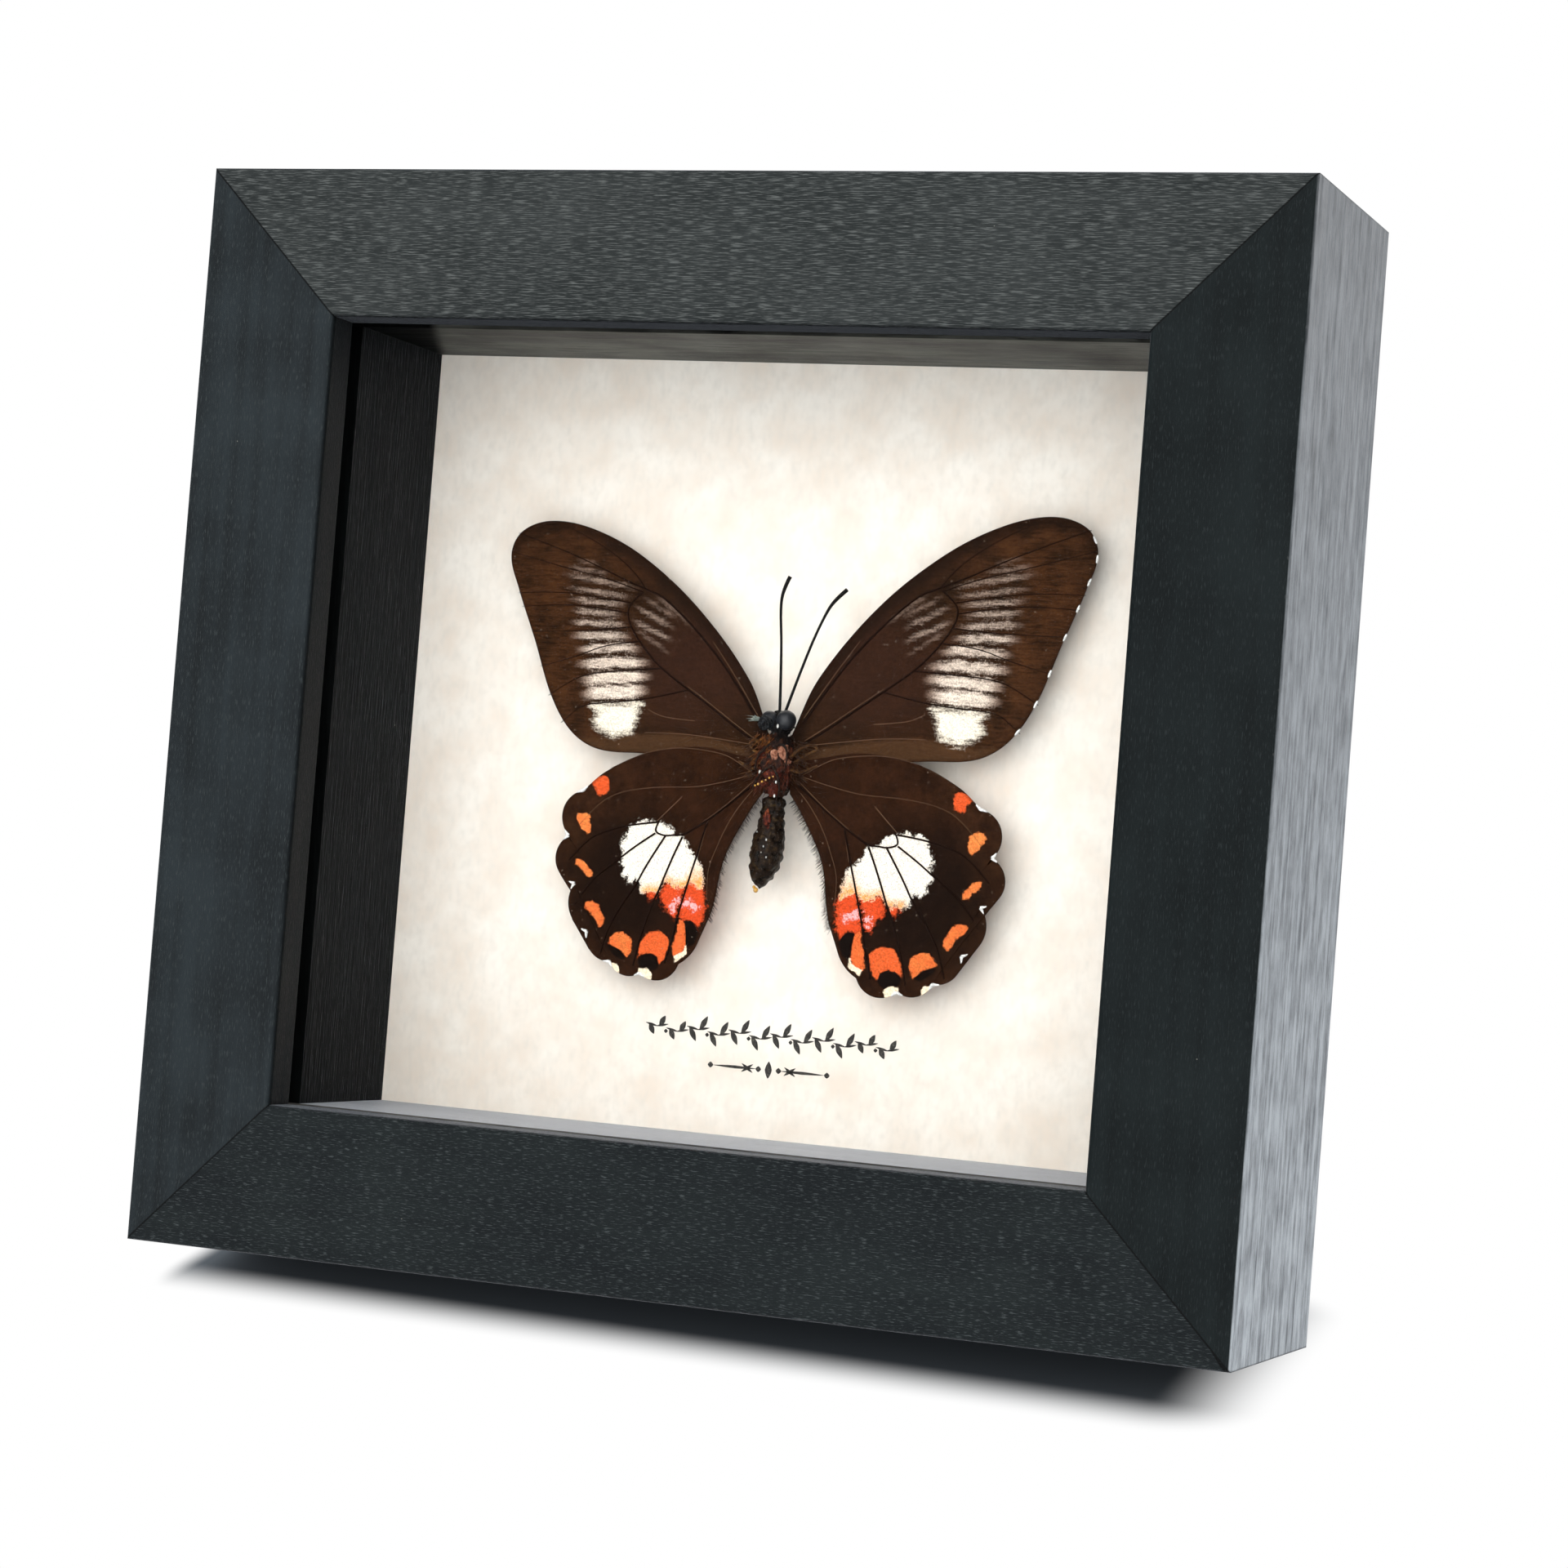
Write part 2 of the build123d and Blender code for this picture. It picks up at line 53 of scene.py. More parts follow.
MM = 0.001
Point = tuple[float, float]
Line = Sequence[Point]
Place = Sequence[float]
Triple = tuple[float, float, float]
Strand = tuple[Sequence[Place], Sequence[float]]
Draft = bmesh.types.BMesh
Tree = bpy.types.NodeTree
Node = bpy.types.Node
Socket = bpy.types.NodeSocket
Outputs = bpy.types.bpy_prop_collection
Input = Union[float, str, Sequence[float], Socket]


# ---- small helpers
def linear(code: str) -> tuple[float, float, float, float]:
    """Turn an sRGB hex value into the linear colour that a node takes.

    Args:
        code: colour such as "#A0B1C2".

    Returns:
        Linear red, green, blue and an alpha of 1.
    """
    channels = [int(code[start:start + 2], 16) / 255 for start in (1, 3, 5)]
    red, green, blue = (
        part / 12.92 if part <= 0.04045 else ((part + 0.055) / 1.055) ** 2.4 for part in channels
    )
    return red, green, blue, 1.0


def feed(tree: Tree, node: Node, inputs: Mapping[Union[str, int], Input]) -> None:
    """Set or link a shader node's inputs.

    Args:
        tree: the node's tree.
        node: the node.
        inputs: value, hex colour or socket for each input, by name or place.
    """
    for key, value in inputs.items():
        if isinstance(value, Socket):
            tree.links.new(value, node.inputs[key])
        else:
            node.inputs[key].default_value = linear(value) if isinstance(value, str) else value


def add(
    tree: Tree,
    kind: str,
    inputs: Optional[Mapping[Union[str, int], Input]] = None,
    stops: Sequence[tuple[float, str]] = (),
    **settings: object,
) -> Outputs:
    """Add one shader node with its settings, values and links.

    Args:
        tree: node tree that gets the node.
        kind: node type without its "ShaderNode".
        inputs: value, hex colour or socket for each input, by name or place.
        stops: places and hex colours of a colour ramp.
        settings: properties of the node.

    Returns:
        The new node's outputs.
    """
    made = tree.nodes.new("ShaderNode" + kind)
    for name, value in settings.items():
        setattr(made, name, value)
    feed(tree, made, inputs or {})
    if stops:
        elements = made.color_ramp.elements
        elements.remove(elements[-1])
        elements[0].position, elements[0].color = stops[0][0], linear(stops[0][1])
        for place, code in stops[1:]:
            elements.new(place).color = linear(code)
    return made.outputs


def smooth_line(points: Line, steps: int = 12) -> list[Point]:
    """Draw an even curve through points, its tangent at each along its neighbours' chord.

    Args:
        points: places that the curve passes.
        steps: short runs from one place to the next.

    Returns:
        The curve's places, both ends included.
    """
    places = [Vector((x, z, 0)) for x, z in points]
    ends = [2 * places[0] - places[1], *places, 2 * places[-1] - places[-2]]
    drawn: list[Point] = [points[0]]
    for before, start, end, after in zip(ends, ends[1:], ends[2:], ends[3:]):
        run = (end - start).length
        lean_in = (end - before).normalized() * run / 3
        lean_out = (after - start).normalized() * run / 3
        curve = interpolate_bezier(start, start + lean_in, end - lean_out, end, steps + 1)
        drawn += [(place.x, place.y) for place in curve[1:]]
    return drawn


def arc_line(start: Point, end: Point, bulge: float, steps: int = 14) -> list[Point]:
    """Draw a round lobe over a chord.

    Args:
        start: first end of the chord.
        end: other end of the chord.
        bulge: height of the lobe as a share of the chord, to the chord's left.
        steps: short runs along the lobe.

    Returns:
        The lobe's places, both ends included.
    """
    chord = Vector(end) - Vector(start)
    side = Vector((-chord.y, chord.x))
    middle = Vector(start) + chord / 2
    radius = (0.25 + bulge**2) / (2 * bulge)
    half_angle = math.asin(min(1.0, 0.5 / radius))
    drawn = []
    for step in range(steps + 1):
        angle = half_angle * (2 * step / steps - 1)
        place = middle + chord * radius * math.sin(angle)
        place += side * (radius * math.cos(angle) - radius + bulge)
        drawn.append((place.x, place.y))
    return drawn


def spread_evenly(line: Line, count: int) -> np.ndarray:
    """Place points at equal distances along a line.

    Args:
        line: chain of straight runs.
        count: number of runs wanted.

    Returns:
        count + 1 places.
    """
    places = np.array(line, float)
    gone = np.r_[0, np.cumsum(np.linalg.norm(np.diff(places, axis=0), axis=1))]
    wanted = np.linspace(0, gone[-1], count + 1)
    return np.c_[np.interp(wanted, gone, places[:, 0]), np.interp(wanted, gone, places[:, 1])]


def to_line(where: np.ndarray, line: Line) -> tuple[np.ndarray, np.ndarray]:
    """Measure how far places lie from a line and how far along it their nearest point is.

    Args:
        where: one place a row.
        line: chain of straight runs.

    Returns:
        Distances, and shares of the line's length from 0 to 1.
    """
    places = np.array(line, float)
    lengths = np.linalg.norm(np.diff(places, axis=0), axis=1)
    gone = np.r_[0, np.cumsum(lengths)]
    nearest, along = np.full(len(where), 1e9), np.zeros(len(where))
    for start, end, length, before in zip(places, places[1:], lengths, gone):
        run = end - start
        share = np.clip((where - start) @ run / max(run @ run, 1e-12), 0, 1)
        gap = np.linalg.norm(where - start - share[:, None] * run, axis=1)
        nearer = gap < nearest
        nearest[nearer] = gap[nearer]
        along[nearer] = ((before + share * length) / gone[-1])[nearer]
    return nearest, along


def in_outline(where: np.ndarray, outline: Line) -> np.ndarray:
    """Measure how deep places lie inside a closed outline.

    Args:
        where: one place a row.
        outline: corners of the outline.

    Returns:
        Distances to the outline, negative outside it.
    """
    closed = [*outline, outline[0]]
    inside = np.zeros(len(where), bool)
    x, z = where[:, 0], where[:, 1]
    for (x1, z1), (x2, z2) in zip(closed, closed[1:]):
        if z1 != z2:
            inside ^= ((z1 > z) != (z2 > z)) & (x < (x2 - x1) * (z - z1) / (z2 - z1) + x1)
    gap, _ = to_line(where, closed)
    return np.where(inside, gap, -gap)


# ---- the case's own axes
@dataclass(frozen=True)
class CaseAxes:
    """The leaning case's axes: x to the right, y from the front face to the rear, z up its height.

    Sizes are in millimetres, and the origin is the middle of the front face's bottom edge. The
    specimen is placed by the middle of its thorax.
    """

    width: float = 150.0
    height: float = 142.5
    depth: float = 38.0
    rail: float = 19.5
    paper_front: float = 32.1
    thorax: Triple = (1.3, 27.1, 69.05)

    def to_scene(self) -> Matrix:
        """Read off the record's mounts how the case's millimetres lie in the scene's metres.

        Returns:
            Matrix that places a mesh drawn in the case's axes.
        """
        mounts = {mount["name"]: mount for mount in frame["record"]["mounts"]}
        rearward = Vector(mounts["back_face"]["axis"])
        upward = -Vector(mounts["base_face"]["axis"])
        origin = Vector(mounts["base_face"]["pos_m"]) - rearward * self.depth / 2 * MM
        axes = Matrix((rearward.cross(upward), rearward, upward)).transposed().to_4x4()
        return Matrix.Translation(origin) @ axes @ Matrix.Scale(MM, 4)


CASE = CaseAxes()


def place_inputs(tree: Tree, placing: Matrix) -> Socket:
    """Give a material the millimetres of a piece's own axes.

    Args:
        tree: node tree that gets the nodes.
        placing: matrix that places the piece's own axes in the case's.

    Returns:
        Socket with the place in the piece's own axes.
    """
    where, turn, size = (CASE.to_scene() @ placing).inverted().decompose()
    steady = add(tree, "TexCoord")["Object"]
    inputs = {"Vector": steady, "Location": where, "Rotation": turn.to_euler("XYZ"), "Scale": size}
    return add(tree, "Mapping", inputs)[0]


# ---- finishes
@dataclass(frozen=True)
class Finish:
    """What all finishes share: a name, and one Principled surface that each dresses."""

    name: str

    def material(self) -> bpy.types.Material:
        """Make the material, or find it again by its name.

        Returns:
            The material.
        """
        found = bpy.data.materials.get(self.name)
        if found:
            return found
        made = bpy.data.materials.new(self.name)
        made.use_nodes = True
        tree = made.node_tree
        tree.nodes.clear()
        surface = add(tree, "BsdfPrincipled")[0].node
        add(tree, "OutputMaterial", {"Surface": surface.outputs[0]})
        self.dress(tree, surface)
        return made

    def dress(self, tree: Tree, surface: Node) -> None:
        """Add the nodes that give the finish its look.

        Args:
            tree: its node tree.
            surface: its Principled surface.
        """
        raise NotImplementedError


@dataclass(frozen=True)
class BlackStainedWood(Finish):
    """Planed open-pored wood, stained black and left matt.

    It gives a charcoal face with short pale pores along the grain, soft bands of tone, bare fibres
    on the arrises, dark mitres, and a silvery sheen where light grazes it, which on the outer face
    is also painted into the grain's colour. It can paint shade on the sight edge and a shadow in a
    box's corner. Lengths are in millimetres, and scales are repeats a millimetre along, behind and
    across the piece.

    Attributes:
        placing: rows of the matrix from the piece's own axes to the case's.
        sheen, gloss: weight of the silvery sheen, and specular level.
        deep, stain, pore: colours of the dark bands, the light bands and the pores.
        pore_length, pore_width: pitch of the pores along the grain and across it.
        pore_share, pore_edge: tone at which a pore opens, and how much more opens it fully.
        relief: depth of the pores.
        band_length, band_width: pitch of the bands along the grain and across it.
        mitred: whether it is a rail, with an outer face, arrises and mitres.
        half_length: half of the rail's outer length.
        silver, hollow: light and dark grain of the outer face, the light one also a painted sheen.
        streak_scale, plane_scale: scales of its drawn-out grain and of the plane's marks.
        plane_share: share of the plane's marks.
        ends: its brightness at the rail's two ends, as painted light.
        bare, arris: colour and reach of the rubbed arrises.
        lip_shade: strength of the painted shade on the sight edge.
        open_joint: gap of the mitre at the rail's far end.
        dim_corner: width of the painted shadow at the far end, per mm before the paper.
    """

    placing: tuple[tuple[float, ...], ...]
    sheen: float
    deep: str
    stain: str
    pore: str
    gloss: float = 0.06
    pore_length: float = 1.1
    pore_width: float = 0.15
    pore_share: float = 0.55
    pore_edge: float = 0.14
    relief: float = 0.16
    band_length: float = 60.0
    band_width: float = 2.4
    mitred: bool = True
    half_length: float = 75.0
    silver: str = "#3C3F42"
    hollow: str = "#141617"
    streak_scale: Triple = (0.04, 0.95, 0.95)
    plane_scale: Triple = (0.2, 0.42, 0.42)
    plane_share: float = 0.42
    ends: tuple[float, float] = (1.0, 1.0)
    bare: str = "#4B4D4D"
    arris: float = 0.25
    lip_shade: float = 0.0
    open_joint: float = 0.0
    dim_corner: float = 0.0

    def dress(self, tree: Tree, surface: Node) -> None:
        """Lay bands, pores, worn arrises, mitres and dust over the stain.

        Args:
            tree: its node tree.
            surface: its Principled surface.
        """
        place = place_inputs(tree, Matrix(self.placing))
        along, depth, across = add(tree, "SeparateXYZ", {0: place})
        band_scale = (1 / self.band_length, 1 / self.band_width, 1 / self.band_width)
        banded = add(tree, "Mapping", {"Vector": place, "Scale": band_scale})[0]
        bands = add(tree, "TexNoise", {"Vector": banded, "Scale": 1.0, "Detail": 4.0})[0]
        pore_scale = (1 / self.pore_length, 1 / self.pore_width, 1 / self.pore_width)
        pitted = add(tree, "Mapping", {"Vector": place, "Scale": pore_scale})[0]
        pits = add(tree, "TexNoise", {"Vector": pitted, "Scale": 1.0, "Roughness": 0.6})[0]
        cloud = add(tree, "TexNoise", {"Vector": place, "Scale": 0.07, "Detail": 3.0})[0]
        tone = add(tree, "Math", {0: bands, 1: cloud}, operation="ADD")[0]
        share = add(tree, "MapRange", {"Value": tone, "From Min": 0.8, "From Max": 1.2})[0]
        colour = add(tree, "Mix", {0: share, 6: self.deep, 7: self.stain}, data_type="RGBA")[2]
        opened = add(
            tree, "MapRange",
            {"Value": pits, "From Min": self.pore_share,
             "From Max": self.pore_share + self.pore_edge},
        )[0]
        colour = add(tree, "Mix", {0: opened, 6: colour, 7: self.pore}, data_type="RGBA")[2]
        if self.mitred:
            colour = self.flank(tree, colour, place, along, across)
            colour = self.edges(tree, colour, place, along, depth, across)
        # a painted shadow in the box's corner
        elif self.dim_corner:
            colour = self.corner(tree, colour, along, depth)
        fleck = add(tree, "TexVoronoi", {"Vector": place, "Scale": 0.14})["Distance"]
        dust = add(tree, "MapRange", {"Value": fleck, "From Min": 0.02, "From Max": 0.01})[0]
        dusted = add(tree, "Mix", {0: dust, 6: colour, 7: "#77766F"}, data_type="RGBA")[2]
        matt = add(
            tree, "MapRange",
            {"Value": bands, "From Min": 0.3, "From Max": 0.7, "To Min": 0.4, "To Max": 0.54},
        )[0]
        bump = add(tree, "Bump", {"Height": pits, "Strength": 1.0, "Distance": self.relief * MM})
        feed(
            tree, surface,
            {"Base Color": dusted, "Roughness": matt, "Normal": bump[0],
             "Specular IOR Level": self.gloss, "Sheen Weight": self.sheen, "Sheen Roughness": 0.25,
             "Sheen Tint": "#CCD2DC"},
        )

    def corner(self, tree: Tree, colour: Socket, along: Socket, depth: Socket) -> Socket:
        """Paint a shadow on a wall of the box in its corner with the next wall, where no light
        comes in.

        Args:
            tree: its node tree.
            colour: colour of the wall.
            along: distance along the wall from its middle.
            depth: distance behind the front face.

        Returns:
            The colour with the painted corner shadow, which is widest at the wall's front edge.
        """
        sight = CASE.width / 2 - CASE.rail
        to_end = add(tree, "Math", {0: sight, 1: along}, operation="SUBTRACT")[0]
        ahead = add(tree, "Math", {0: CASE.paper_front, 1: depth}, operation="SUBTRACT")[0]
        wide = add(tree, "Math", {0: ahead, 1: self.dim_corner}, operation="MULTIPLY")[0]
        past = add(tree, "Math", {0: to_end, 1: wide}, operation="SUBTRACT")[0]
        dim = add(tree, "MapRange", {"Value": past, "From Min": 0.8, "From Max": -0.8})[0]
        return add(tree, "Mix", {0: dim, 6: colour, 7: "#040505"}, data_type="RGBA")[2]

    def flank(
        self, tree: Tree, colour: Socket, place: Socket, along: Socket, across: Socket
    ) -> Socket:
        """Paint the outer face's drawn-out grain, with a painted sheen in its lighter colour.

        Args:
            tree: its node tree.
            colour: colour of the front face.
            place: place in the rail's own axes.
            along: distance along the rail from its middle.
            across: distance from the outer face.

        Returns:
            The colour with the outer face.
        """
        drawn = add(tree, "Mapping", {"Vector": place, "Scale": self.streak_scale})[0]
        streaked = add(
            tree, "TexNoise", {"Vector": drawn, "Scale": 1.0, "Detail": 5.0, "Roughness": 0.66}
        )[0]
        chattered = add(tree, "Mapping", {"Vector": place, "Scale": self.plane_scale})[0]
        marks = add(
            tree, "TexNoise", {"Vector": chattered, "Scale": 1.0, "Detail": 4.0, "Roughness": 0.6}
        )[0]
        blots = add(tree, "Mix", {0: self.plane_share, 2: streaked, 3: marks})[0]
        # the light stop is a painted sheen of grazing light on the outer face
        thin = add(tree, "ValToRGB", {0: blots}, stops=((0.38, self.hollow), (0.58, self.silver)))
        start, end = self.ends
        # painted light: the outer face grows brighter towards one end of the rail
        strength = add(
            tree, "MapRange",
            {"Value": along, "From Min": -self.half_length, "From Max": self.half_length,
             "To Min": start, "To Max": end},
        )[0]
        toned = add(tree, "VectorMath", {0: thin[0], "Scale": strength}, operation="SCALE")[0]
        outer = add(tree, "MapRange", {"Value": across, "From Min": 0.28, "From Max": 0.12})[0]
        return add(tree, "Mix", {0: outer, 6: colour, 7: toned}, data_type="RGBA")[2]

    def edges(
        self,
        tree: Tree,
        colour: Socket,
        place: Socket,
        along: Socket,
        depth: Socket,
        across: Socket,
    ) -> Socket:
        """Rub the arrises bare, paint shade on the sight edge and darken the mitres.

        Args:
            tree: its node tree.
            colour: colour of the flat faces.
            place: place in the rail's own axes.
            along: distance along the rail from its middle.
            depth: distance behind the front face.
            across: distance from the outer face.

        Returns:
            The colour with its edges.
        """
        outer = add(tree, "Math", {0: depth, 1: across}, operation="ADD")[0]
        inward = add(tree, "Math", {0: CASE.rail, 1: across}, operation="SUBTRACT")[0]
        sight = add(tree, "Math", {0: inward, 1: depth}, operation="ADD")[0]
        backward = add(tree, "Math", {0: CASE.depth, 1: depth}, operation="SUBTRACT")[0]
        rear = add(tree, "Math", {0: backward, 1: across}, operation="ADD")[0]
        front_edge = add(tree, "Math", {0: outer, 1: sight}, operation="MINIMUM")[0]
        edge = add(tree, "Math", {0: front_edge, 1: rear}, operation="MINIMUM")[0]
        rub = add(tree, "TexNoise", {"Vector": place, "Scale": 0.9, "Detail": 4.0})[0]
        reach = add(
            tree, "MapRange",
            {"Value": rub, "From Min": 0.42, "From Max": 0.72, "To Max": self.arris * 2},
        )[0]
        over = add(tree, "Math", {0: reach, 1: edge}, operation="SUBTRACT")[0]
        worn = add(tree, "MapRange", {"Value": over, "From Max": 0.2, "To Max": 0.45})[0]
        rubbed = add(tree, "Mix", {0: worn, 6: colour, 7: self.bare}, data_type="RGBA")[2]
        # painted shade: the lip's sight edge is darkened towards near-black
        under = add(
            tree, "MapRange",
            {"Value": inward, "From Min": 0.3, "From Max": 0.06, "To Max": self.lip_shade},
        )[0]
        rubbed = add(tree, "Mix", {0: under, 6: rubbed, 7: "#020303"}, data_type="RGBA")[2]
        distance = add(tree, "Math", {0: along}, operation="ABSOLUTE")[0]
        to_end = add(tree, "Math", {0: self.half_length, 1: distance}, operation="SUBTRACT")[0]
        mitre = add(tree, "Math", {0: to_end, 1: across}, operation="SUBTRACT")[0]
        right_end = add(tree, "Math", {0: self.half_length, 1: along}, operation="SUBTRACT")[0]
        gape = add(
            tree, "MapRange",
            {"Value": right_end, "From Min": 2.4, "From Max": 1.2, "To Max": self.open_joint},
        )[0]
        opened = add(tree, "Math", {0: mitre, 1: gape}, operation="SUBTRACT")[0]
        seam = add(
            tree, "MapRange", {"Value": opened, "From Min": 0.24, "From Max": 0.06, "To Max": 0.85}
        )[0]
        return add(tree, "Mix", {0: seam, 6: rubbed, 7: "#050606"}, data_type="RGBA")[2]


@dataclass(frozen=True)
class ParchmentPaper(Finish):
    """Printed parchment: warm white cotton paper with soft beige clouds and fine grey fibres.

    Real fibres are 0.03 mm wide, and flocks of them are drawn 1 mm wide, so that they show.
    """

    pale: str = "#FFF9EE"
    beige: str = "#F5E9DA"
    grey: str = "#EAE4D9"
    cloud_size: float = 6.0

    def dress(self, tree: Tree, surface: Node) -> None:
        """Mottle the sheet in two tones and strew short fibres.

        Args:
            tree: its node tree.
            surface: its Principled surface.
        """
        place = place_inputs(tree, Matrix())
        large = add(
            tree, "TexNoise",
            {"Vector": place, "Scale": 1 / self.cloud_size, "Detail": 5.0, "Roughness": 0.55},
        )[0]
        share = add(tree, "MapRange", {"Value": large, "From Min": 0.35, "From Max": 0.7})[0]
        clouded = add(tree, "Mix", {0: share, 6: self.pale, 7: self.beige}, data_type="RGBA")[2]
        stretched = add(tree, "Mapping", {"Vector": place, "Scale": (0.9, 1.0, 0.5)})[0]
        thread = add(
            tree, "TexNoise", {"Vector": stretched, "Scale": 1.0, "Detail": 4.0, "Roughness": 0.65}
        )[0]
        few = add(
            tree, "MapRange", {"Value": thread, "From Min": 0.45, "From Max": 0.75, "To Max": 0.6}
        )[0]
        strewn = add(tree, "Mix", {0: few, 6: clouded, 7: self.grey}, data_type="RGBA")[2]
        tooth = add(tree, "TexNoise", {"Vector": place, "Scale": 3.0, "Detail": 3.0})[0]
        bump = add(tree, "Bump", {"Height": tooth, "Strength": 0.3, "Distance": 0.03 * MM})
        feed(
            tree, surface,
            {"Base Color": strewn, "Roughness": 0.85, "Specular IOR Level": 0.2, "Normal": bump[0]},
        )


@dataclass(frozen=True)
class PrintedInk(Finish):
    """Carbon ink soaked a little into the paper: soft black, broken by the paper's tooth."""

    ink: str = "#2B2925"
    thin: str = "#5C574F"

    def dress(self, tree: Tree, surface: Node) -> None:
        """Let the ink thin out in small spots.

        Args:
            tree: its node tree.
            surface: its Principled surface.
        """
        place = place_inputs(tree, Matrix())
        spots = add(tree, "TexNoise", {"Vector": place, "Scale": 4.0, "Detail": 3.0})[0]
        share = add(tree, "MapRange", {"Value": spots, "From Min": 0.5, "From Max": 0.75})[0]
        colour = add(tree, "Mix", {0: share, 6: self.ink, 7: self.thin}, data_type="RGBA")[2]
        feed(tree, surface, {"Base Color": colour, "Roughness": 0.7})


@dataclass(frozen=True)
class CastAcrylic(Finish):
    """Clear cast acrylic sheet: almost unseen, with a faint gloss that grows at grazing angles."""

    tint: str = "#FFFFFF"
    gloss: float = 0.25

    def dress(self, tree: Tree, surface: Node) -> None:
        """Show what is behind, with a little of the room mirrored over it.

        Args:
            tree: its node tree.
            surface: its Principled surface.
        """
        clear = add(tree, "BsdfTransparent", {"Color": self.tint})
        mirror = add(tree, "Fresnel", {"IOR": 1.49})[0]
        share = add(tree, "Math", {0: mirror, 1: self.gloss}, operation="MULTIPLY")[0]
        pane = add(tree, "MixShader", {0: share, 1: clear[0], 2: surface.outputs[0]})
        output = next(node for node in tree.nodes if node.type == "OUTPUT_MATERIAL")
        tree.links.new(pane[0], output.inputs["Surface"])
        feed(tree, surface, {"Base Color": "#050606", "Roughness": 0.04, "IOR": 1.49})


@dataclass(frozen=True)
class PressedBoard(Finish):
    """Pressed wood-fibre board: an even ground with short dark and light fibres pressed flat.

    Real fibres are 0.05 mm wide, and bundles of them are drawn up to 0.7 mm wide, so that they
    show.
    """

    ground: str = "#6A4B30"
    dark: str = "#4A321E"
    light: str = "#8E6C48"
    fibre: float = 1.1
    roughness: float = 0.62

    def dress(self, tree: Tree, surface: Node) -> None:
        """Strew fibres of two tones over the ground.

        Args:
            tree: its node tree.
            surface: its Principled surface.
        """
        place = place_inputs(tree, Matrix())
        bent = add(tree, "TexNoise", {"Vector": place, "Scale": 0.25})["Color"]
        drawn = add(tree, "VectorMath", {0: bent, "Scale": 6.0}, operation="SCALE")[0]
        strewn = add(tree, "VectorMath", {0: place, 1: drawn}, operation="ADD")[0]
        laid = add(tree, "Mapping", {"Vector": strewn, "Scale": (0.5, 1.0, 1.6)})[0]
        fibres = add(
            tree, "TexNoise",
            {"Vector": laid, "Scale": 1 / self.fibre, "Detail": 6.0, "Roughness": 0.7},
        )[0]
        colour = add(
            tree, "ValToRGB",
            {0: fibres},
            stops=((0.32, self.dark), (0.5, self.ground), (0.7, self.light)),
        )[0]
        bump = add(tree, "Bump", {"Height": fibres, "Strength": 0.4, "Distance": 0.08 * MM})
        feed(tree, surface, {"Base Color": colour, "Roughness": self.roughness, "Normal": bump[0]})


@dataclass(frozen=True)
class SheetMetal(Finish):
    """Rolled and plated metal: a cool sheen with rolling lines, crystal patches and dull scuffs.

    Real rolling lines are 0.05 mm wide, and they are drawn 0.35 mm wide, so that they show.
    """

    metal: str = "#B9BBBC"
    dull: str = "#8E9092"
    roughness: float = 0.32
    metallic: float = 1.0
    grain: float = 0.35

    def dress(self, tree: Tree, surface: Node) -> None:
        """Draw rolling lines and scuffs into colour and roughness.

        Args:
            tree: its node tree.
            surface: its Principled surface.
        """
        place = place_inputs(tree, Matrix())
        rolled = add(tree, "Mapping", {"Vector": place, "Scale": (0.1, 1.0, 1.0)})[0]
        lines = add(tree, "TexNoise", {"Vector": rolled, "Scale": 1 / self.grain, "Detail": 4.0})[0]
        scuffs = add(tree, "TexNoise", {"Vector": place, "Scale": 0.6, "Detail": 5.0})[0]
        share = add(tree, "MapRange", {"Value": scuffs, "From Min": 0.45, "From Max": 0.7})[0]
        colour = add(tree, "Mix", {0: share, 6: self.metal, 7: self.dull}, data_type="RGBA")[2]
        both = add(tree, "Math", {0: lines, 1: share}, operation="ADD")[0]
        rough = add(
            tree, "MapRange",
            {"Value": both, "From Min": 0.3, "From Max": 1.6, "To Min": self.roughness * 0.75,
             "To Max": self.roughness * 1.6},
        )[0]
        bump = add(tree, "Bump", {"Height": lines, "Strength": 0.25, "Distance": 0.01 * MM})
        feed(
            tree, surface,
            {"Base Color": colour, "Metallic": self.metallic, "Roughness": rough,
             "Normal": bump[0]},
        )


@dataclass(frozen=True)
class ScaleLayer:
    """One coloured area of wing scales, laid over those before it.

    Its measure is a distance in millimetres, positive inside the area. Scales of both colours mix
    over ragged millimetres at its edge, and level names a measure from 0 to 1 that thins the area.
    """

    measure: str
    colour: str
    ragged: float = 0.35
    soft: float = 0.12
    strength: float = 1.0
    level: str = ""


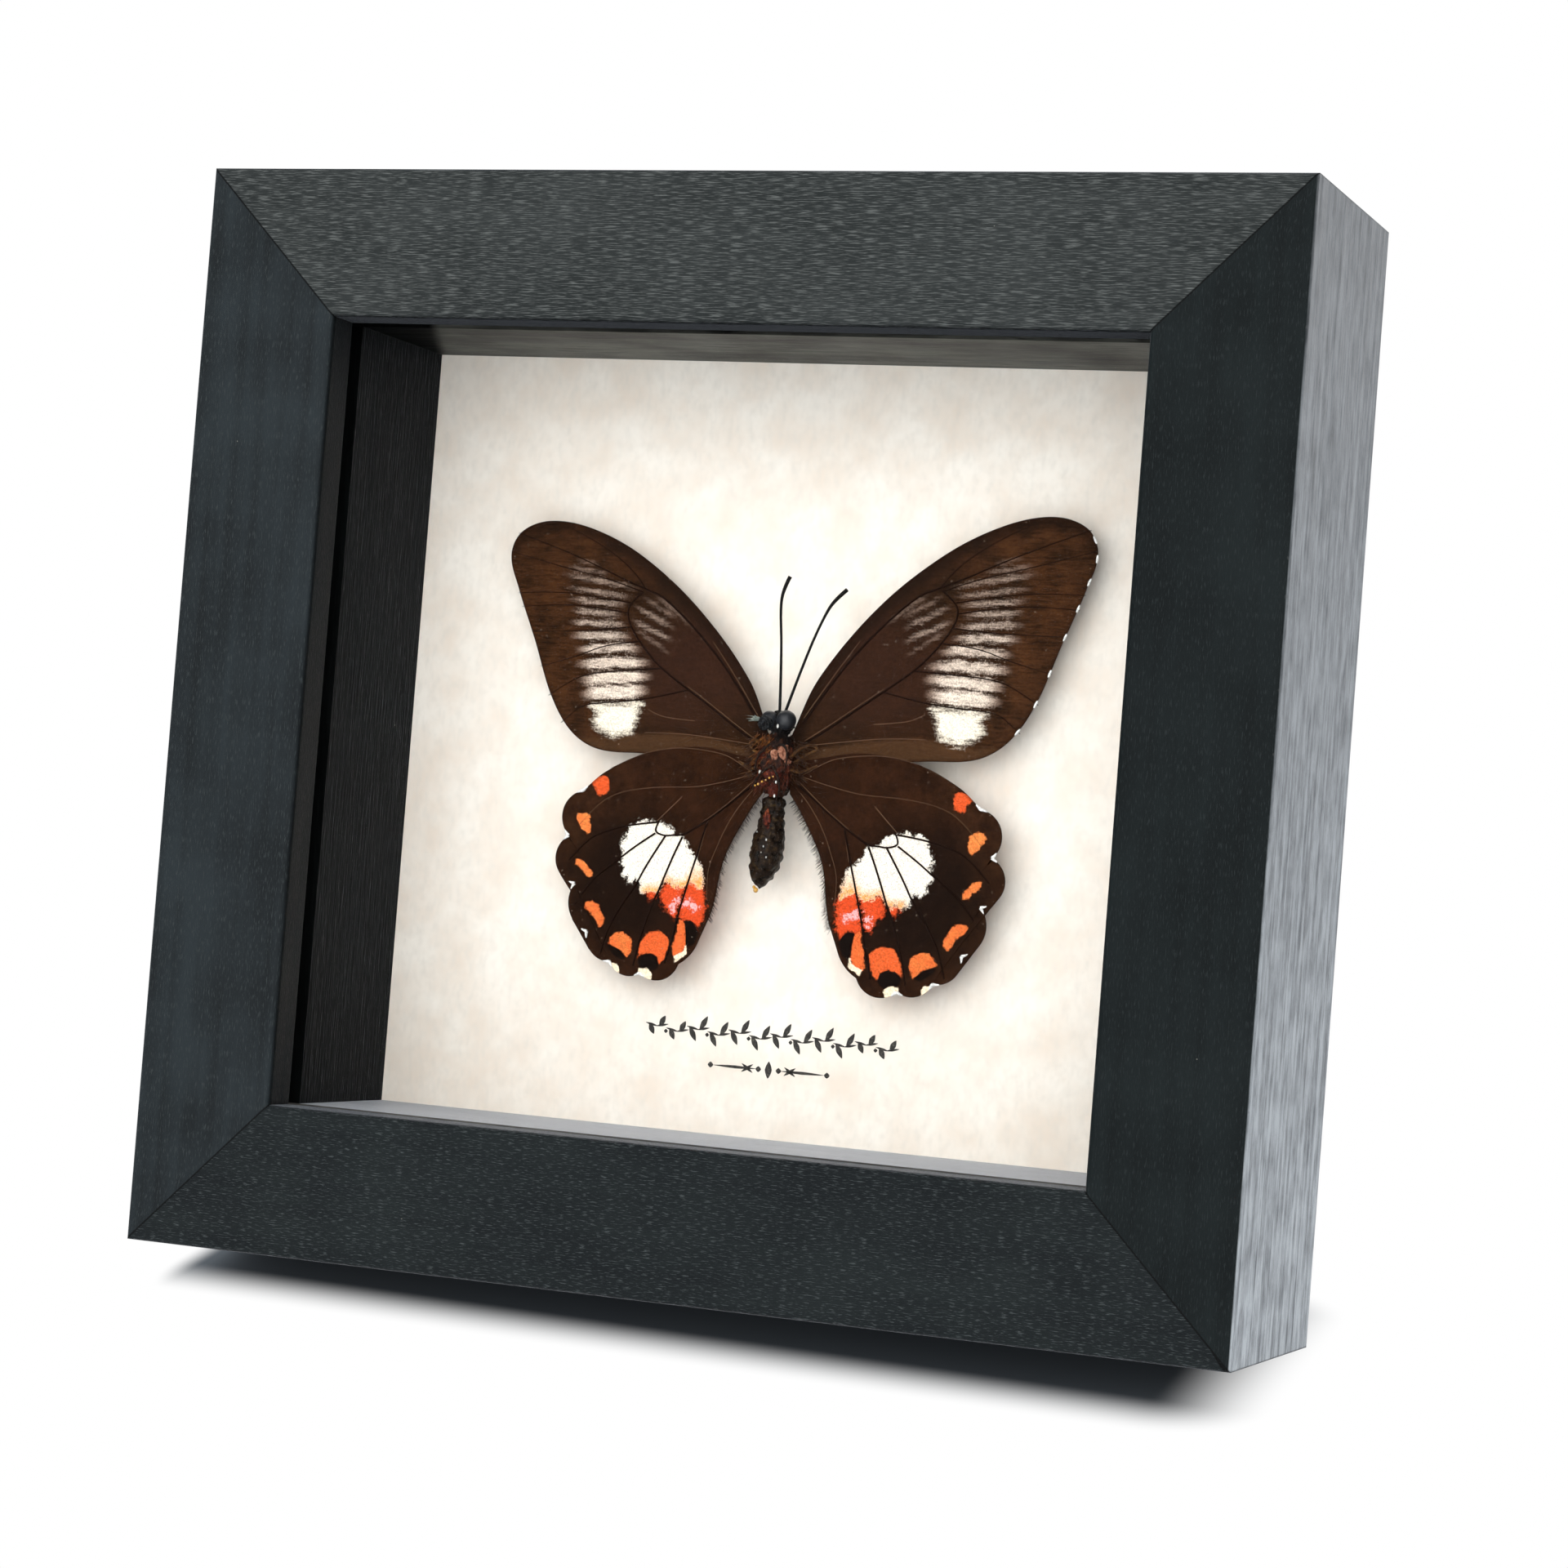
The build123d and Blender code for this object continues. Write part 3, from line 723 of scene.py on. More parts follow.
@dataclass(frozen=True)
class WingScales(Finish):
    """Dusty wing scales on a thin membrane.

    It gives a velvety brown, grainy at close range, with ragged coloured areas, dark raised veins
    and a few loose pale scales. Real scales are 0.1 mm long, and they are drawn a little coarser,
    so that they show.

    Attributes:
        ground, warm: colours near the body and of the outer wing.
        dusky: colour of the dark fibres and clouds.
        vein, hair: colours of the veins and of the fine shiny hairs.
        mote, fringe: colours of the loose scales and of the margin's scales.
        layers: coloured areas, from the lowest to the topmost.
        scale_size: width of a scale in millimetres.
        fibre: repeats of the ground's fibres a millimetre, on each axis.
        motes: places a millimetre where a loose scale may lie.
    """

    ground: str = "#33200F"
    warm: str = "#45281A"
    dusky: str = "#2A190E"
    vein: str = "#1C0F09"
    hair: str = "#7F614A"
    mote: str = "#B09C88"
    fringe: str = "#F4F4F0"
    layers: tuple[ScaleLayer, ...] = ()
    scale_size: float = 0.14
    fibre: Triple = (0.5, 1.0, 3.2)
    motes: float = 0.95

    def dress(self, tree: Tree, surface: Node) -> None:
        """Lay the areas over a fibrous ground and roughen them with scales.

        Args:
            tree: its node tree.
            surface: its Principled surface.
        """
        place = place_inputs(tree, Matrix())
        drawn = add(tree, "Mapping", {"Vector": place, "Scale": self.fibre})[0]
        fibres = add(
            tree, "TexNoise", {"Vector": drawn, "Scale": 1.0, "Detail": 4.0, "Roughness": 0.6}
        )[0]
        cloud = add(tree, "TexNoise", {"Vector": place, "Scale": 0.25, "Detail": 3.0})[0]
        tone = add(tree, "Math", {0: fibres, 1: cloud}, operation="ADD")[0]
        share = add(tree, "MapRange", {"Value": tone, "From Min": 0.75, "From Max": 1.25})[0]
        outward = add(tree, "Attribute", attribute_name="outward")["Fac"]
        lit = add(tree, "Mix", {0: outward, 6: self.ground, 7: self.warm}, data_type="RGBA")[2]
        colour = add(tree, "Mix", {0: share, 6: self.dusky, 7: lit}, data_type="RGBA")[2]
        grains = add(
            tree, "TexNoise",
            {"Vector": place, "Scale": 1 / (2 * self.scale_size), "Detail": 5.0, "Roughness": 0.75},
        )[0]
        ragged = add(tree, "Mix", {0: 0.5, 2: grains, 3: fibres})[0]
        for layer in self.layers:
            colour = self.cover(tree, colour, ragged, layer)
        colour = self.strew(tree, colour, place, cloud)
        for marked, tone in (("vein", self.vein), ("hair", self.hair), ("fringe", self.fringe)):
            nearby = add(tree, "Attribute", attribute_name=marked)["Fac"]
            colour = add(tree, "Mix", {0: nearby, 6: colour, 7: tone}, data_type="RGBA")[2]
        cells = add(tree, "TexVoronoi", {"Vector": place, "Scale": 1 / self.scale_size})["Color"]
        grey = add(tree, "RGBToBW", {0: cells})[0]
        grain = add(tree, "MapRange", {"Value": grey, "To Min": 0.62, "To Max": 1.34})[0]
        grainy = add(tree, "VectorMath", {0: colour, "Scale": grain}, operation="SCALE")[0]
        bump = add(tree, "Bump", {"Height": grey, "Strength": 0.35, "Distance": 0.02 * MM})
        feed(
            tree, surface,
            {"Base Color": grainy, "Roughness": 0.6, "Specular IOR Level": 0.03, "Normal": bump[0]},
        )

    def cover(self, tree: Tree, colour: Socket, ragged: Socket, layer: ScaleLayer) -> Socket:
        """Cover the scales below with one coloured area.

        Args:
            tree: its node tree.
            colour: colour below the area.
            ragged: noise that makes its edge ragged.
            layer: the area.

        Returns:
            The colour with the area.
        """
        measure = add(tree, "Attribute", attribute_name=layer.measure)["Fac"]
        shift = add(
            tree, "MapRange",
            {"Value": ragged, "From Min": 0.35, "From Max": 0.65, "To Min": -layer.ragged,
             "To Max": layer.ragged},
        )[0]
        moved = add(tree, "Math", {0: measure, 1: shift}, operation="ADD")[0]
        covered = add(
            tree, "MapRange",
            {"Value": moved, "From Min": -layer.soft, "From Max": layer.soft,
             "To Max": layer.strength},
            interpolation_type="SMOOTHSTEP",
        )[0]
        if layer.level:
            level = add(tree, "Attribute", attribute_name=layer.level)["Fac"]
            dusty = add(
                tree, "MapRange",
                {"Value": ragged, "From Min": 0.38, "From Max": 0.6, "To Min": 0.5, "To Max": 1.25},
            )[0]
            dusted = add(tree, "Math", {0: level, 1: dusty}, operation="MULTIPLY")[0]
            covered = add(
                tree, "Math", {0: covered, 1: dusted}, operation="MULTIPLY", use_clamp=True
            )[0]
        mix = {0: covered, 6: colour, 7: layer.colour}
        return add(tree, "Mix", mix, data_type="RGBA")[2]

    def strew(self, tree: Tree, colour: Socket, place: Socket, cloud: Socket) -> Socket:
        """Strew loose pale scales, more of them where the cloud is thin.

        Args:
            tree: its node tree.
            colour: colour below them.
            place: place in the case's axes.
            cloud: the ground's soft clouds.

        Returns:
            The colour with the loose scales.
        """
        motes = add(tree, "TexVoronoi", {"Vector": place, "Scale": self.motes})["Distance"]
        loose = add(tree, "Mix", {0: 0.75, 2: motes, 3: cloud})[0]
        shed = add(
            tree, "MapRange", {"Value": loose, "From Min": 0.39, "From Max": 0.36, "To Max": 0.5}
        )[0]
        near = add(tree, "MapRange", {"Value": motes, "From Min": 0.11, "From Max": 0.06})[0]
        lost = add(tree, "Math", {0: shed, 1: near}, operation="MULTIPLY")[0]
        return add(tree, "Mix", {0: lost, 6: colour, 7: self.mote}, data_type="RGBA")[2]


@dataclass(frozen=True)
class Cuticle(Finish):
    """Dried insect cuticle under matted hair: near-black to chestnut, with glints on bare spots."""

    dark: str = "#120C09"
    brown: str = "#3A2115"
    light: str = "#7A4A30"
    patch: float = 0.8
    roughness: float = 0.42

    def dress(self, tree: Tree, surface: Node) -> None:
        """Patch dark cuticle with brown hair and bare, shinier spots.

        Args:
            tree: its node tree.
            surface: its Principled surface.
        """
        place = place_inputs(tree, Matrix())
        patches = add(
            tree, "TexNoise",
            {"Vector": place, "Scale": 1 / self.patch, "Detail": 6.0, "Roughness": 0.7},
        )[0]
        colour = add(
            tree, "ValToRGB",
            {0: patches},
            stops=((0.38, self.dark), (0.55, self.brown), (0.72, self.light)),
        )[0]
        rough = add(
            tree, "MapRange",
            {"Value": patches, "From Min": 0.35, "From Max": 0.6, "To Min": self.roughness * 0.6,
             "To Max": min(1.0, self.roughness * 1.6)},
        )[0]
        bump = add(tree, "Bump", {"Height": patches, "Strength": 0.8, "Distance": 0.25 * MM})
        feed(
            tree, surface,
            {"Base Color": colour, "Roughness": rough, "Specular IOR Level": 0.2,
             "Normal": bump[0]},
        )


@dataclass(frozen=True)
class FacettedEye(Finish):
    """Compound eye: a glossy blue-black ball with a barely seen honeycomb of facets.

    Real facets are about 0.03 mm wide, and they are drawn 0.11 mm wide, so that they show.
    """

    facets: float = 9.0

    def dress(self, tree: Tree, surface: Node) -> None:
        """Set the gloss and press in the facets.

        Args:
            tree: its node tree.
            surface: its Principled surface.
        """
        place = place_inputs(tree, Matrix())
        cells = add(tree, "TexVoronoi", {"Vector": place, "Scale": self.facets})["Distance"]
        tone = add(tree, "MapRange", {"Value": cells, "From Max": 0.6})[0]
        colour = add(tree, "Mix", {0: tone, 6: "#34383E", 7: "#15171B"}, data_type="RGBA")[2]
        bump = add(tree, "Bump", {"Height": cells, "Strength": 0.2, "Distance": 0.02 * MM})
        feed(
            tree, surface,
            {"Base Color": colour, "Roughness": 0.38, "Coat Weight": 0.2, "Coat Roughness": 0.1,
             "Normal": bump[0]},
        )


@dataclass(frozen=True)
class GlossyBead(Finish):
    """A small smooth glossy bead that catches a sharp glint; near white, it is a painted glint."""

    # near white: the bead is a painted glint
    tone: str = "#E9ECEA"

    def dress(self, tree: Tree, surface: Node) -> None:
        """Cloud the bead a little.

        Args:
            tree: its node tree.
            surface: its Principled surface.
        """
        place = place_inputs(tree, Matrix())
        cloud = add(tree, "TexNoise", {"Vector": place, "Scale": 3.0})[0]
        share = add(tree, "MapRange", {"Value": cloud, "From Min": 0.4, "From Max": 0.8})[0]
        colour = add(tree, "Mix", {0: share, 6: self.tone, 7: "#A89C86"}, data_type="RGBA")[2]
        feed(tree, surface, {"Base Color": colour, "Roughness": 0.12})


# ---- meshes
def finished(
    name: str, mesh: bpy.types.Mesh, finish: Finish, nodes: Iterable[str] = ()
) -> bpy.types.Object:
    """Make a placed mesh a piece of the case body.

    Args:
        name: the piece's name.
        mesh: mesh in the scene's metres.
        finish: finish of the whole piece.
        nodes: solids that the piece stands for.

    Returns:
        The piece's object.
    """
    mesh.name = name
    mesh.materials.clear()
    mesh.materials.append(finish.material())
    piece = bpy.data.objects.new(name, mesh)
    bpy.context.scene.collection.objects.link(piece)
    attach(piece, "case")
    if nodes:
        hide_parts(*nodes)
    log.info("%s: %d faces, %s", name, len(mesh.polygons), finish.name)
    return piece


def from_bmesh(draft: Draft, placing: Matrix, smooth: bool = True) -> bpy.types.Mesh:
    """Turn a bmesh drawn in millimetres into a placed mesh and free it.

    Args:
        draft: the bmesh.
        placing: matrix from its axes to the case's.
        smooth: whether its faces are shaded smooth.

    Returns:
        The mesh in the scene's metres.
    """
    bmesh.ops.transform(draft, matrix=CASE.to_scene() @ placing, verts=draft.verts)
    if placing.determinant() < 0:
        bmesh.ops.reverse_faces(draft, faces=draft.faces)
    mesh = bpy.data.meshes.new("draft")
    draft.to_mesh(mesh)
    draft.free()
    if smooth:
        mesh.shade_smooth()
    else:
        mesh.shade_flat()
    return mesh


def add_strands(draft: Draft, lines: Iterable[Strand], sides: int = 1) -> int:
    """Add round strands that follow smooth lines.

    Args:
        draft: bmesh that gets the strands, in the lines' own units.
        lines: for each strand its places (x, y, z) and its radius at each.
        sides: the curve's bevel resolution.

    Returns:
        How many vertices the strands have.
    """
    curve = bpy.data.curves.new("strands", "CURVE")
    curve.dimensions = "3D"
    curve.bevel_depth = 1.0
    curve.bevel_resolution = sides
    curve.use_fill_caps = True
    curve.resolution_u = 4
    for places, radii in lines:
        spline = curve.splines.new("NURBS")
        spline.points.add(len(places) - 1)
        for point, place, radius in zip(spline.points, places, radii):
            point.co = (*place, 1.0)
            point.radius = radius
        spline.order_u = 3
        spline.use_endpoint_u = True
    holder = bpy.data.objects.new("strands", curve)
    mesh = bpy.data.meshes.new_from_object(holder)
    bpy.data.objects.remove(holder)
    bpy.data.curves.remove(curve)
    count = len(mesh.vertices)
    draft.from_mesh(mesh)
    bpy.data.meshes.remove(mesh)
    return count


# ---- sub-assemblies
class Rail(Enum):
    """The four mitred rails, by their nodes' names."""

    BOTTOM = "rail_bottom"
    TOP = "rail_top"
    LEFT = "stile_left"
    RIGHT = "stile_right"


@dataclass(frozen=True)
class BoxFrame:
    """The mitred frame and the spacers behind its glazing."""

    spacer_pore_length: float = 5.0
    spacer_pore_width: float = 0.35
    spacer_relief: float = 0.1

    def placing(self, rail: Rail) -> Matrix:
        """Find how a rail's own axes lie in the case's.

        Args:
            rail: which rail.

        Returns:
            Matrix from (along, behind the front, up from the outer face) to the case's axes.
        """
        places = {
            Rail.BOTTOM: ((0, 0, 0), 0),
            Rail.TOP: ((0, 0, CASE.height), 180),
            Rail.LEFT: ((-CASE.width / 2, 0, CASE.height / 2), 90),
            Rail.RIGHT: ((CASE.width / 2, 0, CASE.height / 2), -90),
        }
        where, turn = places[rail]
        return Matrix.Translation(where) @ Matrix.Rotation(math.radians(turn), 4, "Y")

    def stain_rail(self, rail: Rail, **tones: object) -> None:
        """Stain a rail, with its grain along it.

        Args:
            rail: which rail.
            tones: colours and other settings of its finish.
        """
        upright = rail in (Rail.LEFT, Rail.RIGHT)
        finish = BlackStainedWood(
            "black_stained_" + rail.value,
            placing=tuple(tuple(row) for row in self.placing(rail)),
            half_length=(CASE.height if upright else CASE.width) / 2,
            **tones,
        )
        paint(rail.value, finish)

    def stain_spacer(
        self, node: str, turn: float, deep: str = "#0A0B0B", pore: str = "#2B2B28", **tones: object
    ) -> None:
        """Stain a spacer, with its grain along it.

        Args:
            node: the spacer's name.
            turn: degrees from the bottom spacer to it, about the case's depth.
            deep: colour of its darker bands.
            pore: colour of its pores.
            tones: colours and other settings of its finish.
        """
        finish = BlackStainedWood(
            "black_stained_" + node,
            placing=tuple(tuple(row) for row in Matrix.Rotation(math.radians(turn), 4, "Y")),
            mitred=False,
            pore_length=self.spacer_pore_length,
            pore_width=self.spacer_pore_width,
            relief=self.spacer_relief,
            deep=deep,
            pore=pore,
            **tones,
        )
        paint(node, finish)

    def dress(self) -> None:
        """Stain the rails and the spacers, toned apart by painted light and shade."""
        # The rails share one black stain, toned apart by painted light and shade: the top rail is
        # lighter, with paler pores, for the light from above, and the right stile is darkest.
        self.stain_rail(
            Rail.BOTTOM, deep="#14181A", stain="#1A1F20", pore="#3A3F40", sheen=0.4,
            silver="#1C1F21", open_joint=0.45,
        )
        self.stain_rail(
            Rail.TOP, deep="#262929", stain="#2E3131", pore="#505352", sheen=0.2, gloss=0.0,
            pore_length=2.2, pore_width=0.13, pore_share=0.5, lip_shade=0.95,
        )
        self.stain_rail(
            Rail.LEFT, deep="#171B1D", stain="#21272A", pore="#2D3233", sheen=0.35, relief=0.04,
            lip_shade=0.7,
        )
        # its outer face's light grain is a painted sheen of grazing light, brighter towards the
        # bottom
        self.stain_rail(
            Rail.RIGHT, deep="#0D1213", stain="#141A1B", pore="#1F2425", sheen=0.35, relief=0.04,
            silver="#707477", hollow="#35383B", ends=(2.0, 0.55),
        )
        # The spacers share one black stain: the bottom and top ones are stained lighter, as painted
        # light for the sheen that grazing light gives them, the left one darkest, as painted shade,
        # and the top one has a painted shadow in its left corner.
        self.stain_spacer(
            "spacer_left", 90, deep="#040505", stain="#0A0D0D", pore="#0B0D0D", sheen=0.7,
            gloss=0.02,
        )
        self.stain_spacer("spacer_right", -90, stain="#0F100F", sheen=0.8, gloss=0.1)
        self.stain_spacer("spacer_bottom", 0, stain="#504E48", sheen=1.0, gloss=1.0)
        self.stain_spacer("spacer_top", 180, stain="#60615B", sheen=0.0, dim_corner=0.45)


def paint(node: str, finish: Finish) -> None:
    """Give a solid's own mesh a finish.

    Args:
        node: the solid's name.
        finish: its finish.
    """
    for slot in frame["nodes"][node].material_slots:
        slot.material = finish.material()
    log.info("%s: %s", node, finish.name)


@dataclass(frozen=True)
class RearHardware:
    """Backing, hanger, turn buttons, hinge and strut."""

    def dress(self) -> None:
        """Give each solid behind the paper its finish."""
        paint("backing_paper", ParchmentPaper("parchment_paper"))
        paint("glazing_pane", CastAcrylic("cast_acrylic"))
        foam = PressedBoard(
            "extruded_foam_board", ground="#EDEBE4", dark="#DFDCD3", light="#F6F5F0", fibre=0.4
        )
        paint("pinning_board", foam)
        paint("back_panel", PressedBoard("oiled_hardboard"))
        cover = PressedBoard(
            "black_covered_board", ground="#232425", dark="#191A1B", light="#34363A", fibre=0.5
        )
        paint("easel_strut", cover)
        zinc = SheetMetal("zinc_plated_steel")
        for name in ("left_upper", "left_lower", "right_upper", "right_lower"):
            paint("turn_button_" + name, zinc)
        paint("sawtooth_hanger", SheetMetal("brassed_steel", metal="#B79A5B", dull="#8B7443"))
        paint("hanger_brads", SheetMetal("bright_wire_nail", metal="#A9ABAC", roughness=0.28))
        nickel = SheetMetal("nickel_plated_screw", metal="#C4C0B6", roughness=0.22)
        paint("turn_button_screws", nickel)
        paint("corner_v_nails", SheetMetal("blued_strip_steel", metal="#6E747C", dull="#4B5057"))
        hinge = SheetMetal("black_japanned_steel", metal="#2A2B2D", dull="#3A3B3D", roughness=0.4)
        for name in ("hinge_leaf_panel", "hinge_leaf_strut"):
            paint(name, hinge)
        paint("hinge_pin", SheetMetal("drawn_steel_pin", metal="#8F9294"))
        rivet = SheetMetal("aluminium_rivet", metal="#C9CBCD", dull="#A3A5A8", roughness=0.35)
        for name in ("panel_rivets", "strut_rivets"):
            paint(name, rivet)
        paint("specimen_pin", SheetMetal("black_enamelled_pin", metal="#2B2C2E", dull="#1D1E1F"))


class Vein(NamedTuple):
    """A strand that lies on a wing, with its radius at its first and at its last place."""

    line: tuple[Point, ...]
    start: float
    end: float


class Streak(NamedTuple):
    """A streak of pale scales that tapers to both ends, and how dense they are."""

    line: tuple[Point, ...]
    width: float
    level: float


class Area(NamedTuple):
    """An outlined area of coloured scales, and how strong its second colour is."""

    outline: tuple[Point, ...]
    level: float = 1.0


class Strands(Enum):
    """What stands out from a wing's sheet."""

    VEIN = 1
    HAIR = 2
    FRINGE = 3
    FUZZ = 4


@dataclass(frozen=True)
class WingPlan:
    """One right wing, flat, in millimetres from the middle of the thorax.

    Attributes:
        name: forewing or hindwing.
        front, rear: lines from the root to the far point, along the wing's front and rear.
        veins, hairs: raised veins and fine shiny hairs.
        scales: the wing's finish.
        spread: degrees that each wing of the pair is turned up or down, as both turn one way.
        odds: share by which the right wing is larger and the left one smaller.
        lap: how far the wing lies behind the thorax's middle.
        steps: parts of its grid from the root outwards and from the front to the rear.
    """

    name: str
    front: tuple[Point, ...]
    rear: tuple[Point, ...]
    veins: tuple[Vein, ...]
    hairs: tuple[Vein, ...]
    scales: WingScales
    spread: float
    odds: float
    lap: float
    steps: tuple[int, int]


def min_gap(where: np.ndarray, lines: Iterable[Line]) -> np.ndarray:
    """Measure how far places lie from the nearest of several lines."""
    return np.min([to_line(where, line)[0] for line in lines], axis=0)


def streaks(where: np.ndarray, drawn: Sequence[Streak]) -> tuple[np.ndarray, np.ndarray]:
    """Measure long streaks that taper to both ends.

    Args:
        where: one place a row.
        drawn: each streak's line, width and level.

    Returns:
        How deep each place lies in its nearest streak, and that streak's level.
    """
    depth, level = np.full(len(where), -9.0), np.zeros(len(where))
    for line, width, strength in drawn:
        gap, share = to_line(where, line)
        within = np.clip(share, 0.02, 0.98)
        inside = width / 2 * (4 * within * (1 - within)) ** 0.3 - gap
        nearer = inside > depth
        fade = strength * np.clip(5.5 * share * (1 - share), 0, 1)
        depth[nearer], level[nearer] = inside[nearer], fade[nearer]
    return depth, level


def areas(where: np.ndarray, drawn: Sequence[Area]) -> tuple[np.ndarray, np.ndarray]:
    """Measure outlined areas.

    Args:
        where: one place a row.
        drawn: each area's outline and level.

    Returns:
        How deep each place lies in its nearest area, and that area's level.
    """
    depth, level = np.full(len(where), -99.0), np.zeros(len(where))
    for outline, strength in drawn:
        inside = in_outline(where, outline)
        nearer = inside > depth
        depth[nearer], level[nearer] = inside[nearer], strength
    return depth, level


# millimetres from the middle of the thorax to the forewing's apex
REACH = 41.6


def on_wing(*points: Point) -> list[Point]:
    """Turn hundredths of the wing's reach into millimetres."""
    return [(x * REACH / 100, z * REACH / 100) for x, z in points]


def forewing_edges() -> tuple[tuple[Point, ...], tuple[Point, ...]]:
    """Draw a forewing's outline.

    Returns:
        Its front edge, and its inner and outer margin, both from the root to the apex.
    """
    rim = on_wing(
        (3.6, 8.7), (12.0, 27.4), (31.0, 50.2), (51.7, 66.8), (69.7, 75.7), (85.3, 78.6),
        (96.2, 75.2), (100, 67.3), (96.6, 55.8), (89.7, 38.9), (82.5, 20.7), (74.5, 9.1),
        (64.4, 3.4), (48.1, 2.4), (21.6, 1.0), (3.6, 0.5),
    )
    steps = 12
    drawn = smooth_line(rim, steps)
    apex = rim.index(max(rim)) * steps
    return tuple(drawn[:apex + 1]), tuple(reversed(drawn[apex:]))


def hindwing_edges() -> tuple[tuple[Point, ...], tuple[Point, ...]]:
    """Draw a hindwing's outline.

    Returns:
        Its leading edge with the outer lobes, and its inner margin with the lower lobes.
    """
    leading = smooth_line(on_wing(
        (3.6, 0.4), (13.0, 2.4), (27.6, 4.7), (46.6, 1.8), (60.1, -4.6), (67.8, -11.1)
    ))
    notches = on_wing(
        (67.8, -11.1), (72.1, -26.0), (69.2, -41.3), (63.9, -56.7), (55.0, -65.9), (43.8, -69.0),
        (30.3, -65.4), (23.8, -57.9),
    )
    bulges = (0.31, 0.38, 0.27, 0.25, 0.23, 0.27, 0.09)
    lobes = [arc_line(*ends) for ends in zip(notches, notches[1:], bulges)]
    inner = smooth_line(on_wing(
        (23.8, -57.9), (19.7, -46.9), (16.6, -30.3), (8.7, -14.9), (4.6, -9.1)
    ))
    outer = 3
    front = leading + [place for lobe in lobes[:outer] for place in lobe[1:]]
    rear = [place for lobe in lobes[outer:] for place in lobe] + inner[1:]
    return tuple(front), tuple(reversed(rear))


# ---- marks of the wings, in millimetres from the middle of the thorax
FORE_VEINS: tuple[Vein, ...] = (
    Vein(((3.0, 2.6), (6.3, 4.6), (10.2, 7.4), (13.8, 9.8), (18.0, 12.6), (20.6, 15.2),
        (22.9, 18.2), (23.5, 20.1), (23.1, 21.5), (21.2, 23.0)), 0.16, 0.11),
    Vein(((3.0, 5.4), (6.3, 10.2), (10.6, 15.6), (17.6, 22.2), (21.0, 23.4), (24.6, 24.8),
        (27.2, 26.0), (33.5, 28.6), (40.6, 31.0)), 0.2, 0.06),
    Vein(((21.0, 23.4), (22.1, 25.3), (27.6, 29.4), (32.6, 31.6)), 0.1, 0.05),
    Vein(((21.4, 23.0), (26.2, 24.7), (33.7, 26.3), (41.6, 28.4)), 0.09, 0.05),
    Vein(((23.1, 21.5), (27.8, 22.2), (33.8, 23.0), (40.2, 22.7)), 0.09, 0.05),
    Vein(((23.5, 20.1), (27.8, 20.8), (33.9, 21.3), (39.5, 20.8)), 0.09, 0.05),
    Vein(((22.9, 18.2), (26.4, 17.8), (32.0, 17.5), (37.9, 17.4)), 0.1, 0.05),
    Vein(((21.6, 16.2), (26.1, 15.9), (31.0, 13.9), (36.2, 12.6)), 0.1, 0.05),
    Vein(((18.0, 12.6), (24.2, 12.2), (29.5, 11.6), (32.4, 10.1), (34.7, 8.6)), 0.11, 0.05),
    Vein(((13.8, 9.8), (19.1, 8.5), (24.4, 7.9), (29.3, 7.5), (31.0, 6.2),
        (32.5, 4.9)), 0.11, 0.05),
)
FORE_HAIRS: tuple[Vein, ...] = (
    Vein(((3.0, 2.5), (5.3, 2.8), (11.0, 3.5), (15.4, 3.9), (19.9, 3.8)), 0.05, 0.03),
    Vein(((12.7, 5.6), (15.5, 5.8), (18.2, 6.2), (19.6, 7.0)), 0.05, 0.03),
    Vein(((3.4, 3.2), (6.4, 5.1), (10.4, 7.9), (13.9, 10.2)), 0.05, 0.03),
    Vein(((3.2, 6.2), (6.6, 11.4), (10.4, 16.3)), 0.05, 0.03),
)
FORE_PALE: tuple[Streak, ...] = (
    Streak(((27.8, 26.6), (32.0, 27.4)), 0.35, 0.3),
    Streak(((26.4, 25.4), (33.4, 26.4)), 0.4, 0.42),
    Streak(((21.8, 23.3), (25.6, 24.1), (34.1, 25.4)), 0.45, 0.52),
    Streak(((22.6, 22.2), (27.3, 22.8), (33.2, 23.6)), 0.42, 0.55),
    Streak(((23.2, 21.2), (27.8, 21.5), (33.0, 22.0)), 0.48, 0.6),
    Streak(((23.9, 19.8), (27.9, 20.1), (32.4, 20.4)), 0.52, 0.65),
    Streak(((23.2, 18.3), (26.3, 18.6), (32.6, 18.8)), 0.6, 0.7),
    Streak(((22.4, 16.8), (27.0, 17.0), (32.3, 16.8)), 0.75, 0.8),
    Streak(((20.8, 15.0), (24.0, 15.4), (31.4, 14.9)), 0.95, 0.85),
    Streak(((19.2, 13.2), (24.1, 13.4), (31.3, 12.8)), 1.15, 0.9),
    Streak(((18.9, 11.5), (24.3, 11.3), (30.6, 10.7)), 1.4, 0.95),
    Streak(((19.3, 9.6), (24.4, 9.3), (30.2, 8.7)), 1.6, 1.0),
    Streak(((15.6, 19.4), (19.5, 21.2), (21.4, 22.6)), 0.35, 0.35),
    Streak(((16.0, 18.0), (20.1, 19.9), (22.6, 21.2)), 0.4, 0.48),
    Streak(((16.0, 16.2), (20.4, 18.1), (23.0, 19.3)), 0.42, 0.55),
    Streak(((16.6, 14.4), (19.6, 16.4), (22.4, 18.0)), 0.35, 0.35),
    Streak(((13.6, 18.2), (17.0, 21.0), (19.6, 22.7)), 0.35, 0.35),
)
FORE_CREAM: tuple[Area, ...] = (
    Area(((20.6, 7.8), (24.5, 7.5), (28.0, 7.3), (26.8, 6.2), (27.6, 5.0), (26.2, 3.9),
        (24.5, 3.3), (22.0, 3.9), (21.6, 5.0), (21.4, 6.3))),
)
FORE_MARKS: tuple[Point, ...] = (
    (41.6, 30.0), (42.2, 27.3), (41.3, 24.1), (39.5, 20.9), (37.9, 17.3), (36.2, 12.6),
    (34.7, 8.6), (32.5, 4.9),
)
